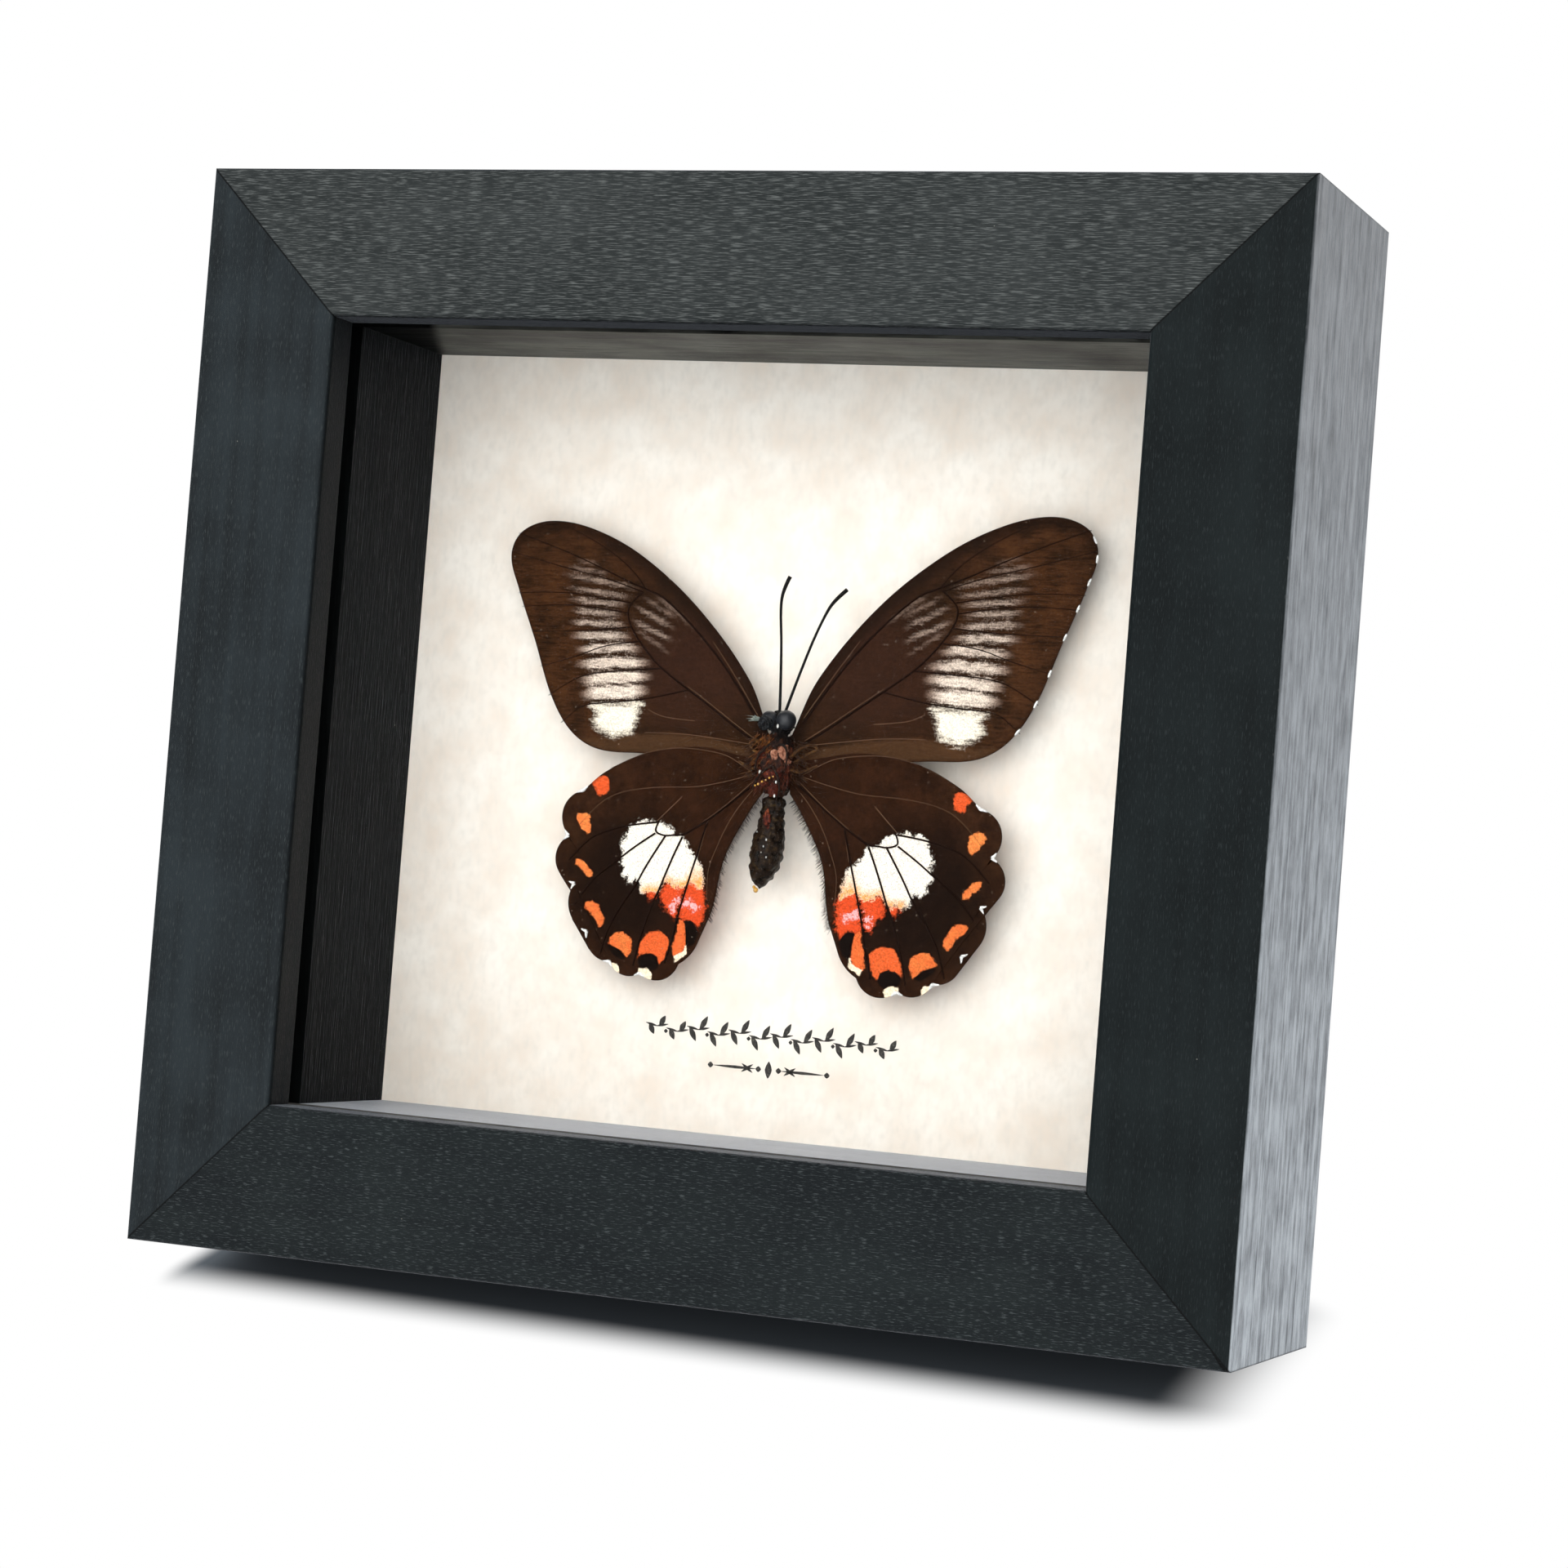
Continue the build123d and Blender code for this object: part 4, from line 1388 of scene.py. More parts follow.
HIND_VEINS: tuple[Vein, ...] = (
    Vein(((9.7, -8.0), (10.3, -10.2), (10.9, -12.6), (11.4, -14.3), (11.9, -16.2), (12.4, -18.1),
        (13.0, -20.3), (13.4, -22.7), (13.9, -24.8), (14.6, -27.2)), 0.14, 0.1),
    Vein(((13.2, -10.2), (14.2, -12.4), (15.4, -15.5), (16.2, -17.7), (16.9, -19.1),
        (17.5, -21.0), (18.2, -23.1), (18.7, -24.8), (19.3, -27.8)), 0.14, 0.1),
    Vein(((15.7, -10.2), (16.7, -11.8), (18.4, -14.6), (19.6, -17.0), (21.3, -19.3),
        (22.7, -21.7), (23.6, -23.5), (24.4, -26.6)), 0.14, 0.1),
    Vein(((17.2, -9.9), (19.8, -11.6), (22.2, -13.5), (24.6, -15.3), (26.5, -16.9),
        (28.6, -20.0)), 0.14, 0.09),
    Vein(((17.0, -8.4), (21.1, -8.9), (24.8, -10.0), (27.4, -11.3), (29.8, -14.1)), 0.14, 0.09),
    Vein(((3.0, -2.6), (5.0, -4.1), (7.8, -6.4), (10.3, -8.2), (12.7, -9.7), (13.5, -10.0),
        (14.5, -10.0), (15.7, -10.2), (17.2, -9.8), (17.1, -8.9), (16.7, -8.2)), 0.15, 0.12),
)
HIND_HAIRS: tuple[Vein, ...] = (
    Vein(((3.4, -1.4), (5.7, -2.1), (8.9, -2.9), (12.0, -3.5), (15.7, -3.6), (19.3, -3.9),
        (23.2, -4.7), (26.1, -6.5), (28.6, -9.4)), 0.045, 0.025),
    Vein(((13.7, -4.9), (15.3, -6.5), (17.0, -8.2)), 0.05, 0.05),
    Vein(((3.6, -1.2), (6.1, 0.3), (7.6, 1.0), (9.6, 1.4), (12.5, 1.7), (15.3, 1.7), (18.5, 1.1),
        (20.5, 0.4), (24.2, -1.4)), 0.045, 0.025),
    Vein(((3.4, -3.6), (4.5, -4.8), (6.0, -6.9), (7.2, -9.1), (8.1, -11.4), (8.9, -13.4),
        (9.2, -15.3), (9.0, -18.5)), 0.045, 0.025),
    Vein(((3.2, -2.2), (5.2, -4.0), (7.8, -6.2), (10.3, -8.0)), 0.05, 0.03),
    Vein(((9.6, -7.8), (10.1, -10.0), (10.6, -12.2)), 0.04, 0.03),
)
HIND_PATCH: tuple[Area, ...] = (
    Area(((10.5, -13.6), (10.9, -12.8), (11.9, -12.3), (12.8, -10.8), (13.2, -10.2),
        (14.5, -10.0), (14.7, -9.5), (15.6, -8.8), (16.7, -8.4), (18.0, -8.1), (19.3, -8.4),
        (20.6, -8.5), (21.1, -9.1), (21.3, -10.1), (22.0, -11.1), (22.2, -12.0), (21.7, -12.5),
        (22.1, -13.9), (21.6, -14.7), (21.6, -15.6), (20.9, -15.9), (20.6, -16.6), (19.8, -16.0),
        (19.3, -16.9), (18.7, -17.7), (17.6, -17.8), (16.5, -17.7), (16.0, -17.3), (15.3, -16.1),
        (14.9, -16.5), (13.7, -17.0), (12.5, -16.8), (11.9, -16.3), (9.8, -17.0), (9.8, -15.8),
        (10.1, -14.6))),
)
HIND_ORANGE: tuple[Area, ...] = (
    Area(((9.9, -16.4), (10.5, -16.0), (11.9, -15.8), (12.2, -16.9), (12.5, -18.4),
        (12.8, -19.8), (12.9, -21.0), (12.3, -21.5), (12.0, -21.4), (11.2, -21.3), (10.7, -21.6),
        (10.1, -22.4), (9.7, -21.7), (9.3, -20.2), (9.3, -18.5), (9.5, -17.1))),
    Area(((12.3, -16.4), (13.7, -16.6), (14.9, -16.2), (15.5, -16.7), (15.8, -17.9),
        (15.7, -19.2), (14.9, -19.9), (14.2, -20.7), (13.7, -21.3), (13.4, -20.7), (13.0, -19.3),
        (12.7, -17.9))),
    Area(((16.3, -17.3), (17.6, -17.5), (18.2, -17.5), (17.7, -18.3), (17.4, -18.9),
        (16.8, -18.5))),
)
HIND_SPOTS: tuple[Area, ...] = (
    Area(((24.6, -2.7), (25.3, -2.5), (26.2, -2.6), (26.7, -3.0), (26.9, -3.6), (26.3, -4.2),
        (26.1, -5.1), (25.5, -5.2), (24.6, -4.8), (24.4, -4.0), (24.4, -3.5)), 0.0),
    Area(((26.9, -8.1), (27.6, -7.7), (28.7, -7.7), (29.1, -8.2), (28.8, -8.9), (28.4, -9.3),
        (28.1, -9.8), (27.3, -10.5), (26.8, -10.1), (26.7, -9.4), (26.9, -8.8)), 0.6),
    Area(((27.6, -14.2), (28.2, -13.9), (28.7, -14.0), (28.7, -14.5), (28.1, -15.1),
        (27.4, -15.5), (27.1, -16.1), (26.4, -16.2), (26.2, -15.7), (26.5, -15.2),
        (27.0, -14.8)), 0.5),
    Area(((25.1, -19.8), (26.0, -19.5), (26.9, -19.6), (27.2, -20.1), (27.0, -20.6),
        (26.2, -21.0), (25.5, -21.6), (25.0, -22.5), (24.6, -23.1), (24.1, -22.3), (24.1, -21.6),
        (24.6, -20.8)), 0.35),
    Area(((20.3, -23.9), (21.3, -23.4), (22.3, -23.6), (23.0, -24.2), (23.3, -25.1),
        (22.4, -25.4), (21.4, -25.8), (20.8, -26.4), (20.3, -26.8), (19.9, -26.2), (19.6, -25.2),
        (19.7, -24.5)), 0.35),
    Area(((14.6, -23.5), (15.6, -23.0), (16.6, -23.0), (17.6, -23.5), (18.1, -24.3),
        (18.5, -25.3), (18.8, -26.8), (18.1, -26.3), (17.5, -26.1), (16.6, -26.0), (15.8, -26.4),
        (15.5, -27.4), (14.8, -26.8), (14.3, -25.3), (14.2, -24.2)), 0.1),
    Area(((12.3, -21.5), (12.8, -21.0), (13.1, -22.7), (13.5, -24.4), (13.6, -25.8),
        (13.3, -26.2), (12.6, -26.1), (12.0, -25.7), (11.7, -24.7), (11.7, -23.8), (11.8, -22.8),
        (12.0, -21.8)), 0.2),
)
HIND_DARK: tuple[Area, ...] = (
    Area(((15.5, -27.4), (15.8, -26.4), (16.6, -26.0), (17.5, -26.1), (18.1, -26.3),
        (18.6, -26.9), (18.6, -27.2), (18.3, -28.0), (17.4, -28.0), (16.4, -28.3), (15.8, -28.1))),
    Area(((20.3, -26.8), (20.8, -26.4), (21.4, -25.8), (22.4, -25.4), (23.3, -25.1),
        (23.2, -25.7), (22.2, -26.6), (21.2, -27.1))),
    Area(((10.1, -22.4), (10.7, -21.6), (11.2, -21.3), (12.0, -21.4), (11.9, -22.3),
        (11.7, -23.3), (11.7, -24.2), (11.3, -24.9), (10.5, -24.4), (9.9, -22.9))),
)
HIND_CREAM: tuple[Area, ...] = (
    Area(((21.4, -28.2), (21.7, -27.7), (24.0, -27.6), (23.4, -28.4), (21.4, -29.2)), 0.0),
    Area(((16.4, -28.6), (17.2, -28.0), (18.4, -28.1), (18.5, -29.6), (16.5, -29.6))),
    Area(((11.6, -24.4), (11.9, -25.4), (12.7, -25.9), (13.3, -26.1), (13.1, -27.0),
        (11.4, -25.8)), 0.3),
)
HIND_MARKS: tuple[Point, ...] = (
    (28.2, -4.6), (30.0, -10.8), (28.8, -17.2), (26.6, -23.6), (22.9, -27.4), (18.2, -28.7),
)
HIND_FLECKS: tuple[Area, ...] = (
    Area(((10.2, -19.5), (11.2, -18.7), (12.2, -18.5), (12.5, -19.1), (11.7, -19.5),
        (10.7, -20.0))),
    Area(((13.1, -18.3), (13.7, -19.0), (14.3, -19.6), (14.0, -20.2), (13.4, -19.8))),
)


FORE_SCALES = WingScales(
    "forewing_scales",
    ground="#301C0E",
    warm="#4A2C17",
    dusky="#22140A",
    layers=(
        ScaleLayer("plum", "#3A2219", ragged=0.6, soft=4.0, strength=0.4),
        ScaleLayer("band", "#5C4028", ragged=0.4, soft=0.6, strength=0.4),
        ScaleLayer("costa", "#180D07", ragged=0.3, soft=0.8, strength=0.6),
        ScaleLayer("halo", "#1E1108", ragged=0.25, soft=0.35, strength=0.7, level="pale_level"),
        ScaleLayer("pale", "#8F7361", ragged=0.3, soft=0.4, level="pale_level"),
        ScaleLayer("pale", "#F0E0CE", ragged=0.35, soft=0.35, strength=0.95, level="pale_glow"),
        ScaleLayer("cream", "#FBF0DA", ragged=0.7, soft=0.7),
        ScaleLayer("rim", "#24130B", ragged=0.1, soft=0.15, strength=0.4),
    ),
)
HIND_SCALES = WingScales(
    "hindwing_scales",
    ground="#321B0D",
    warm="#3C2413",
    dusky="#221107",
    fibre=(1.1, 1.0, 1.1),
    layers=(
        ScaleLayer("shade", "#140A05", ragged=0.6, soft=4.0, strength=0.8),
        ScaleLayer("orange", "#D84C24", ragged=0.6, soft=0.3),
        ScaleLayer("patch", "#F6EEDF", ragged=0.6, soft=0.2),
        ScaleLayer("patch", "#F2A860", ragged=0.5, soft=0.3, level="blush"),
        ScaleLayer("spot", "#DF582A", ragged=0.26, soft=0.1),
        ScaleLayer("spot", "#EE9A50", ragged=0.26, soft=0.1, level="spot_level"),
        ScaleLayer("fleck", "#F7C9CC", ragged=0.9, soft=0.2, strength=0.7),
        ScaleLayer("dark", "#120A06", ragged=0.2, soft=0.08),
        ScaleLayer("rim", "#2E1B10", ragged=0.1, soft=0.2, strength=0.5),
        ScaleLayer("cream", "#FFE9C8", ragged=0.15, soft=0.08),
    ),
)


# ---- the specimen
@dataclass(frozen=True)
class Wings:
    """The four wings: thin sheets with raised veins, and measures of their coloured areas."""

    thickness: float = 0.16
    droop: float = 1.5
    sway: float = 0.3
    fringe_runs: int = 900
    fuzz_runs: int = 1200
    fuzz_count: int = 110

    def plans(self) -> tuple[WingPlan, WingPlan]:
        """Draw the forewing's and the hindwing's plan.

        Returns:
            Both plans.
        """
        front, rear = forewing_edges()
        fore = WingPlan(
            "forewing", front, rear, FORE_VEINS, FORE_HAIRS, FORE_SCALES,
            spread=1.8, odds=0.014, lap=0.15, steps=(210, 110),
        )
        front, rear = hindwing_edges()
        hind = WingPlan(
            "hindwing", front, rear, HIND_VEINS, HIND_HAIRS, HIND_SCALES,
            spread=1.15, odds=0.006, lap=-0.25, steps=(220, 110),
        )
        return fore, hind

    def sheet(self, plan: WingPlan) -> Draft:
        """Cover the wing's outline with a fine grid and give it its thickness.

        Args:
            plan: the wing's plan.

        Returns:
            The flat wing, x outwards, z up.
        """
        steps, rows = plan.steps
        front, rear = spread_evenly(plan.front, steps), spread_evenly(plan.rear, steps)
        draft = bmesh.new()
        bmesh.ops.create_grid(draft, x_segments=steps, y_segments=rows, size=0.5)
        for vert in draft.verts:
            step = round((vert.co.x + 0.5) * steps)
            x, z = rear[step] + (front[step] - rear[step]) * (vert.co.y + 0.5)
            vert.co = (x, 0, z)
        bmesh.ops.remove_doubles(draft, verts=draft.verts, dist=0.001)
        bmesh.ops.recalc_face_normals(draft, faces=draft.faces)
        bmesh.ops.solidify(draft, geom=draft.faces[:], thickness=self.thickness)
        depths = [vert.co.y for vert in draft.verts]
        middle = (min(depths) + max(depths)) / 2
        bmesh.ops.translate(draft, verts=draft.verts, vec=(0, -middle, 0))
        bmesh.ops.recalc_face_normals(draft, faces=draft.faces)
        return draft

    def place(self, plan: WingPlan, side: int) -> Matrix:
        """Find where a wing lies in the case.

        Args:
            plan: the wing's plan.
            side: 1 for the right wing, -1 for the left.

        Returns:
            Matrix from the flat wing to the case's axes.
        """
        mirrored = Matrix.Scale(-1, 4, (1, 0, 0)) if side < 0 else Matrix()
        return (
            Matrix.Translation(CASE.thorax)
            @ mirrored
            @ Matrix.Rotation(math.radians(self.droop), 4, "Z")
            @ Matrix.Translation((0, plan.lap, 0))
            @ Matrix.Rotation(-math.radians(plan.spread * side), 4, "Y")
            @ Matrix.Scale(1 + side * plan.odds, 4)
        )

    def fringe(self, plan: WingPlan, side: int) -> list[Vein]:
        """Lay white fringe scales into the margin's notches.

        Args:
            plan: the wing's plan.
            side: 1 for the right wing, -1 for the left.

        Returns:
            Strands along the margin.
        """
        margin = spread_evenly([*plan.front, *plan.rear[::-1]], self.fringe_runs)
        hind = plan.name == "hindwing"
        marks = HIND_MARKS if hind else FORE_MARKS if side > 0 else ()
        reach, wide, narrow = (8, 0.26, 0.1) if hind else (4, 0.17, 0.12)
        laid = []
        for mark in marks:
            nearest = int(np.argmin(np.hypot(*(margin - mark).T)))
            for way in (-2, 2):
                run = [tuple(margin[nearest + step * way]) for step in range(reach // 2 + 1)]
                laid.append(Vein(tuple(run), wide, narrow))
        return laid

    def fuzz(self, plan: WingPlan, side: int) -> list[Vein]:
        """Grow fine hairs on the hindwing's inner margin.

        Args:
            plan: the wing's plan.
            side: 1 for the right wing, -1 for the left.

        Returns:
            Short strands that stand off the margin.
        """
        if plan.name == "forewing":
            return []
        chance = np.random.default_rng(11 + side)
        margin = spread_evenly([*plan.front, *plan.rear[::-1]], self.fuzz_runs)
        inner = margin[(margin[:, 0] < 10.5) & (margin[:, 1] < -4.5) & (margin[:, 1] > -21.0)]
        laid = []
        for x, z in inner[:: max(1, len(inner) // self.fuzz_count)]:
            out, down = chance.uniform(0.15, 0.75), chance.uniform(0.3, 0.9)
            middle = (x - out * 0.4, z - down * 0.6)
            laid.append(Vein(((x + 0.1, z), middle, (x - out, z - down)), 0.035, 0.012))
        return laid

    def on_surface(self, veins: Iterable[Vein]) -> list[Strand]:
        """Lay veins on the side of the sheet that faces the front.

        Args:
            veins: each vein's places and its radius at both ends.

        Returns:
            Places and radii for strands.
        """
        front = -self.thickness / 2
        return [
            ([(x, front, z) for x, z in line], np.linspace(start, end, len(line)))
            for line, start, end in veins
        ]

    def measures(self, plan: WingPlan, where: np.ndarray) -> dict[str, np.ndarray]:
        """Measure each coloured area at each place of a wing.

        Args:
            plan: the wing's plan.
            where: places on the flat wing.

        Returns:
            One value for each place, for each area.
        """
        rim = min_gap(where, [plan.front, plan.rear])
        found = {"rim": 0.3 - rim, "outward": np.clip((where[:, 0] - 18) / 14, 0, 1)}
        if plan.name == "forewing":
            return found | self.fore_measures(plan, where)
        return found | self.hind_measures(where)

    def fore_measures(self, plan: WingPlan, where: np.ndarray) -> dict[str, np.ndarray]:
        """Measure a forewing's pale streaks, cream patch, inner band, front edge and cell.

        Args:
            plan: the forewing's plan.
            where: places on the flat wing.

        Returns:
            One value for each place, for each area.
        """
        found = {}
        found["pale"], found["pale_level"] = streaks(where, FORE_PALE)
        found["pale_glow"] = found["pale_level"] ** 3
        found["halo"] = found["pale"] + 0.5
        found["cream"], _ = areas(where, FORE_CREAM)
        below = np.interp(where[:, 0], [3, 10, 15, 21, 26], [1.6, 3.2, 3.7, 3.7, 2.9])
        found["band"] = np.minimum(below - where[:, 1], (30 - where[:, 0]) / 3)
        costa, _ = to_line(where, plan.front[:80])
        found["costa"] = 1.4 - costa
        cell = where - np.array([14.0, 12.0])
        found["plum"] = 7.5 - np.hypot(cell[:, 0] * 0.8, cell[:, 1])
        return found

    def hind_measures(self, where: np.ndarray) -> dict[str, np.ndarray]:
        """Measure a hindwing's patch, orange spots, dark and cream marks and its blush.

        Args:
            where: places on the flat wing.

        Returns:
            One value for each place, for each area.
        """
        marks = {"patch": HIND_PATCH, "orange": HIND_ORANGE, "dark": HIND_DARK,
                 "cream": HIND_CREAM, "fleck": HIND_FLECKS}
        found = {name: areas(where, drawn)[0] for name, drawn in marks.items()}
        found["spot"], found["spot_level"] = areas(where, HIND_SPOTS)
        inner = np.clip((12.3 - where[:, 0]) / 0.8, 0, 1)
        low = np.clip((-where[:, 1] - 13.0) / 3.4, 0, 1)
        beside = np.clip(1 + found["orange"] / 1.1, 0, 1)
        found["blush"] = np.maximum(inner * low, beside)
        middle = where - np.array([20.5, -16.5])
        found["shade"] = 9.0 - np.hypot(*middle.T)
        return found

    def wing(self, plan: WingPlan, side: int) -> bpy.types.Mesh:
        """Make one wing, with its strands and the measures of its coloured areas.

        Args:
            plan: the wing's plan.
            side: 1 for the right wing, -1 for the left.

        Returns:
            The wing in the scene's metres.
        """
        draft = self.sheet(plan)
        kinds = [np.zeros(len(draft.verts))]
        for kind, group in (
            (Strands.VEIN, plan.veins),
            (Strands.HAIR, plan.hairs),
            (Strands.FRINGE, self.fringe(plan, side)),
            (Strands.FUZZ, self.fuzz(plan, side)),
        ):
            count = add_strands(draft, self.on_surface(group))
            kinds.append(np.full(count, kind.value))
        where = np.array([vert.co for vert in draft.verts])[:, [0, 2]]
        measures = self.measures(plan, where)
        kind = np.concatenate(kinds)
        dark = [kind == Strands.VEIN.value, kind == Strands.FUZZ.value]
        measures["vein"] = np.select(dark, [1.0, 0.5], 0.0)
        measures["hair"] = np.where(kind == Strands.HAIR.value, 0.6, 0.0)
        measures["fringe"] = np.where(kind == Strands.FRINGE.value, 1.0, 0.0)
        bend = np.sin(where[:, 0] / 7 + 0.4) * np.cos(where[:, 1] / 9) * self.sway
        bend *= np.clip(where[:, 0] / 10, 0, 1)
        for vert, shift in zip(draft.verts, bend):
            vert.co.y += shift
        mesh = from_bmesh(draft, self.place(plan, side))
        for name, values in measures.items():
            layer = mesh.attributes.new(name, "FLOAT", "POINT")
            layer.data.foreach_set("value", values.astype(np.float32))
        return mesh

    def build(self) -> None:
        """Build both forewings and both hindwings."""
        for plan in self.plans():
            for side, word in ((1, "right"), (-1, "left")):
                name = f"{plan.name}_{word}"
                mesh = self.wing(plan, side)
                finished(f"{name}_scaled", mesh, plan.scales, [name])


@dataclass(frozen=True)
class Body:
    """Thorax, abdomen, head, eyes, feelers and leg stumps, belly side to the front.

    Lengths are in millimetres from the middle of the thorax.

    Attributes:
        downs, radii: heights below the thorax, and the abdomen's radius at each.
        leans, shifts: heights below the thorax, and its shift to the right at each.
        ring_pitch, ring_lift: height of one ring of the abdomen, and how far it bulges.
        feeler: length of a feeler past the head.
    """

    downs: tuple[float, ...] = (4.2, 4.6, 7.0, 9.0, 10.3, 12.0, 13.4, 15.0, 16.0, 16.4)
    radii: tuple[float, ...] = (0.9, 1.45, 1.5, 1.85, 2.1, 2.1, 1.95, 1.4, 0.7, 0.05)
    leans: tuple[float, ...] = (4.2, 10.0, 13.3, 16.4)
    shifts: tuple[float, ...] = (-0.2, -0.45, -0.8, -1.35)
    ring_pitch: float = 1.45
    ring_lift: float = 0.16
    feeler: float = 17.5

    def lumps(
        self, spots: Iterable[tuple[Place, Place]], rough: float, grain: float, fine: int = 4
    ) -> Draft:
        """Make ball-like lumps and roughen their skin.

        Args:
            spots: half of each lump's width, depth and height, and its middle.
            rough: how far bumps stand out or in.
            grain: width of the bumps.
            fine: subdivisions of the balls.

        Returns:
            All lumps together.
        """
        draft = bmesh.new()
        for size, where in spots:
            ball = bmesh.ops.create_icosphere(draft, subdivisions=fine, radius=1.0)["verts"]
            for vert in ball:
                out = vert.co.normalized()
                spot = Vector([s * c for s, c in zip(size, vert.co)])
                lift = noise.fractal((spot + Vector(where)) / grain, 1.0, 2.0, 4)
                vert.co = spot + out * lift * rough + Vector(where)
        return draft

    def abdomen(self) -> Draft:
        """Turn the waisted abdomen, with its rings and folds, and lean its tip to the left.

        Returns:
            The abdomen.
        """
        top, tip = self.downs[0], self.downs[-1]
        steps = 110
        draft = bmesh.new()
        profile = []
        for step in range(steps + 1):
            down = top + (tip - top) * step / steps
            arch = abs(math.sin((down - top) * math.pi / self.ring_pitch)) ** 0.5
            ring = self.ring_lift * arch * min(1.0, (tip - down) / 2)
            radius = float(np.interp(down, self.downs, self.radii)) + ring - self.ring_lift / 2
            profile.append(draft.verts.new((max(radius, 0.02), 0, -down)))
        edges = [draft.edges.new(pair) for pair in zip(profile, profile[1:])]
        bmesh.ops.spin(
            draft, geom=profile + edges, cent=(0, 0, 0), axis=(0, 0, 1), angle=2 * math.pi,
            steps=72, use_merge=True,
        )
        bmesh.ops.remove_doubles(draft, verts=draft.verts, dist=0.001)
        bmesh.ops.holes_fill(draft, edges=[edge for edge in draft.edges if edge.is_boundary])
        bmesh.ops.recalc_face_normals(draft, faces=draft.faces)
        for vert in draft.verts:
            lift = noise.fractal(vert.co / 0.8, 1.0, 2.0, 4)
            vert.co += vert.normal * lift * 0.22
            vert.co.x += float(np.interp(-vert.co.z, self.leans, self.shifts))
        return draft

    def piece(self, name: str, draft: Draft, finish: Finish, nodes: Iterable[str] = ()) -> None:
        """Finish a part of the body.

        Args:
            name: the piece's name.
            draft: its shape.
            finish: its finish.
            nodes: solids that it stands for.
        """
        mesh = from_bmesh(draft, Matrix.Translation(CASE.thorax))
        finished(name, mesh, finish, nodes)

    def bundle(
        self,
        name: str,
        lines: Iterable[Strand],
        finish: Finish,
        nodes: Iterable[str] = (),
        sides: int = 3,
    ) -> None:
        """Finish a part of the body that is made of strands.

        Args:
            name: the piece's name.
            lines: places and radii of its strands.
            finish: its finish.
            nodes: solids that it stands for.
            sides: the curve's bevel resolution.
        """
        draft = bmesh.new()
        add_strands(draft, lines, sides)
        self.piece(name, draft, finish, nodes)

    def build(self) -> None:
        """Build the body from its parts."""
        self.trunk()
        self.feelers()
        self.joints()
        self.legs_and_tongue()
        self.root_loops()
        self.glints_and_dots()
        self.tufts()

    def trunk(self) -> None:
        """Build the thorax, the abdomen, the head and the eyes."""
        hairy = Cuticle("matted_thorax_hair", dark="#100806", brown="#34190D", light="#714628")
        chest = self.lumps([((2.55, 2.5, 4.35), (0, 0, 0))], 0.55, 0.7, fine=5)
        self.piece("thorax_rough", chest, hairy, ["thorax"])
        skin = Cuticle(
            "wrinkled_abdomen_skin", dark="#070402", brown="#211307", light="#54401F", roughness=0.3
        )
        self.piece("abdomen_rough", self.abdomen(), skin, ["abdomen"])
        black = Cuticle("head_bristle", dark="#060606", brown="#100D0C", light="#2E2622", patch=0.4)
        head = self.lumps([((1.7, 1.6, 1.6), (0, 0, 5.5))], 0.35, 0.5, fine=5)
        self.piece("head_rough", head, black, ["head"])
        eyes = bmesh.new()
        for where, radius in (((-1.35, -0.9, 5.8), 1.2), ((1.2, -1.45, 5.85), 1.32)):
            bmesh.ops.create_uvsphere(
                eyes, u_segments=48, v_segments=32, radius=radius, matrix=Matrix.Translation(where)
            )
        self.piece("eyes_facetted", eyes, FacettedEye("compound_eye"), ["eyes"])

    def feelers(self) -> None:
        """Draw the two clubbed feelers."""
        chitin = Cuticle("feeler_chitin", dark="#030303", brown="#060505", light="#14110F")
        for side, word, bends in (
            (-1, "left", ((-2, 43), (-6.5, 80), (-3.4, 93), (0, 100))),
            (1, "right", ((14, 43), (27, 75), (34, 85), (42, 92))),
        ):
            places = [(side * 0.4, 0, 7.0)]
            for out, up in bends:
                place = (side * 0.4 + out * self.feeler / 100, 0, 7.4 + up * self.feeler / 100)
                places.append(place)
            line = (places, (0.2, 0.17, 0.18, 0.26, 0.27))
            name = f"antenna_{word}"
            self.bundle(f"{name}_clubbed", [line], chitin, [name])

    def joints(self) -> None:
        """Set bare muscle lumps and the joints of the legs on the front."""
        tan = Cuticle(
            "bare_tan_muscle", dark="#6B3B28", brown="#A8735A", light="#D7A98E", patch=0.5
        )
        spots = (
            ((0.7, 0.5, 1.0), (1.25, -2.1, 1.7)), ((0.5, 0.4, 0.6), (0.3, -2.4, 1.2)),
            ((0.45, 0.4, 0.4), (1.9, -1.7, 0.4)),
        )
        self.piece("tan_muscle_lumps", self.lumps(spots, 0.3, 0.5), tan)
        chestnut = Cuticle(
            "chestnut_leg_joint", dark="#1D0A06", brown="#5A2114", light="#A85A33", patch=0.5
        )
        spots = (
            ((0.8, 0.5, 0.6), (-0.2, -2.4, -1.4)), ((0.6, 0.5, 0.5), (0.9, -2.3, -1.2)),
            ((0.9, 0.45, 0.4), (-1.2, -2.1, -2.6)), ((0.7, 0.6, 0.9), (0.4, -2.0, -3.4)),
            ((0.5, 0.35, 1.5), (-0.4, -1.65, -7.4)), ((0.7, 0.5, 0.8), (-1.5, -1.8, 1.0)),
        )
        self.piece("chestnut_joints", self.lumps(spots, 0.28, 0.45), chestnut)

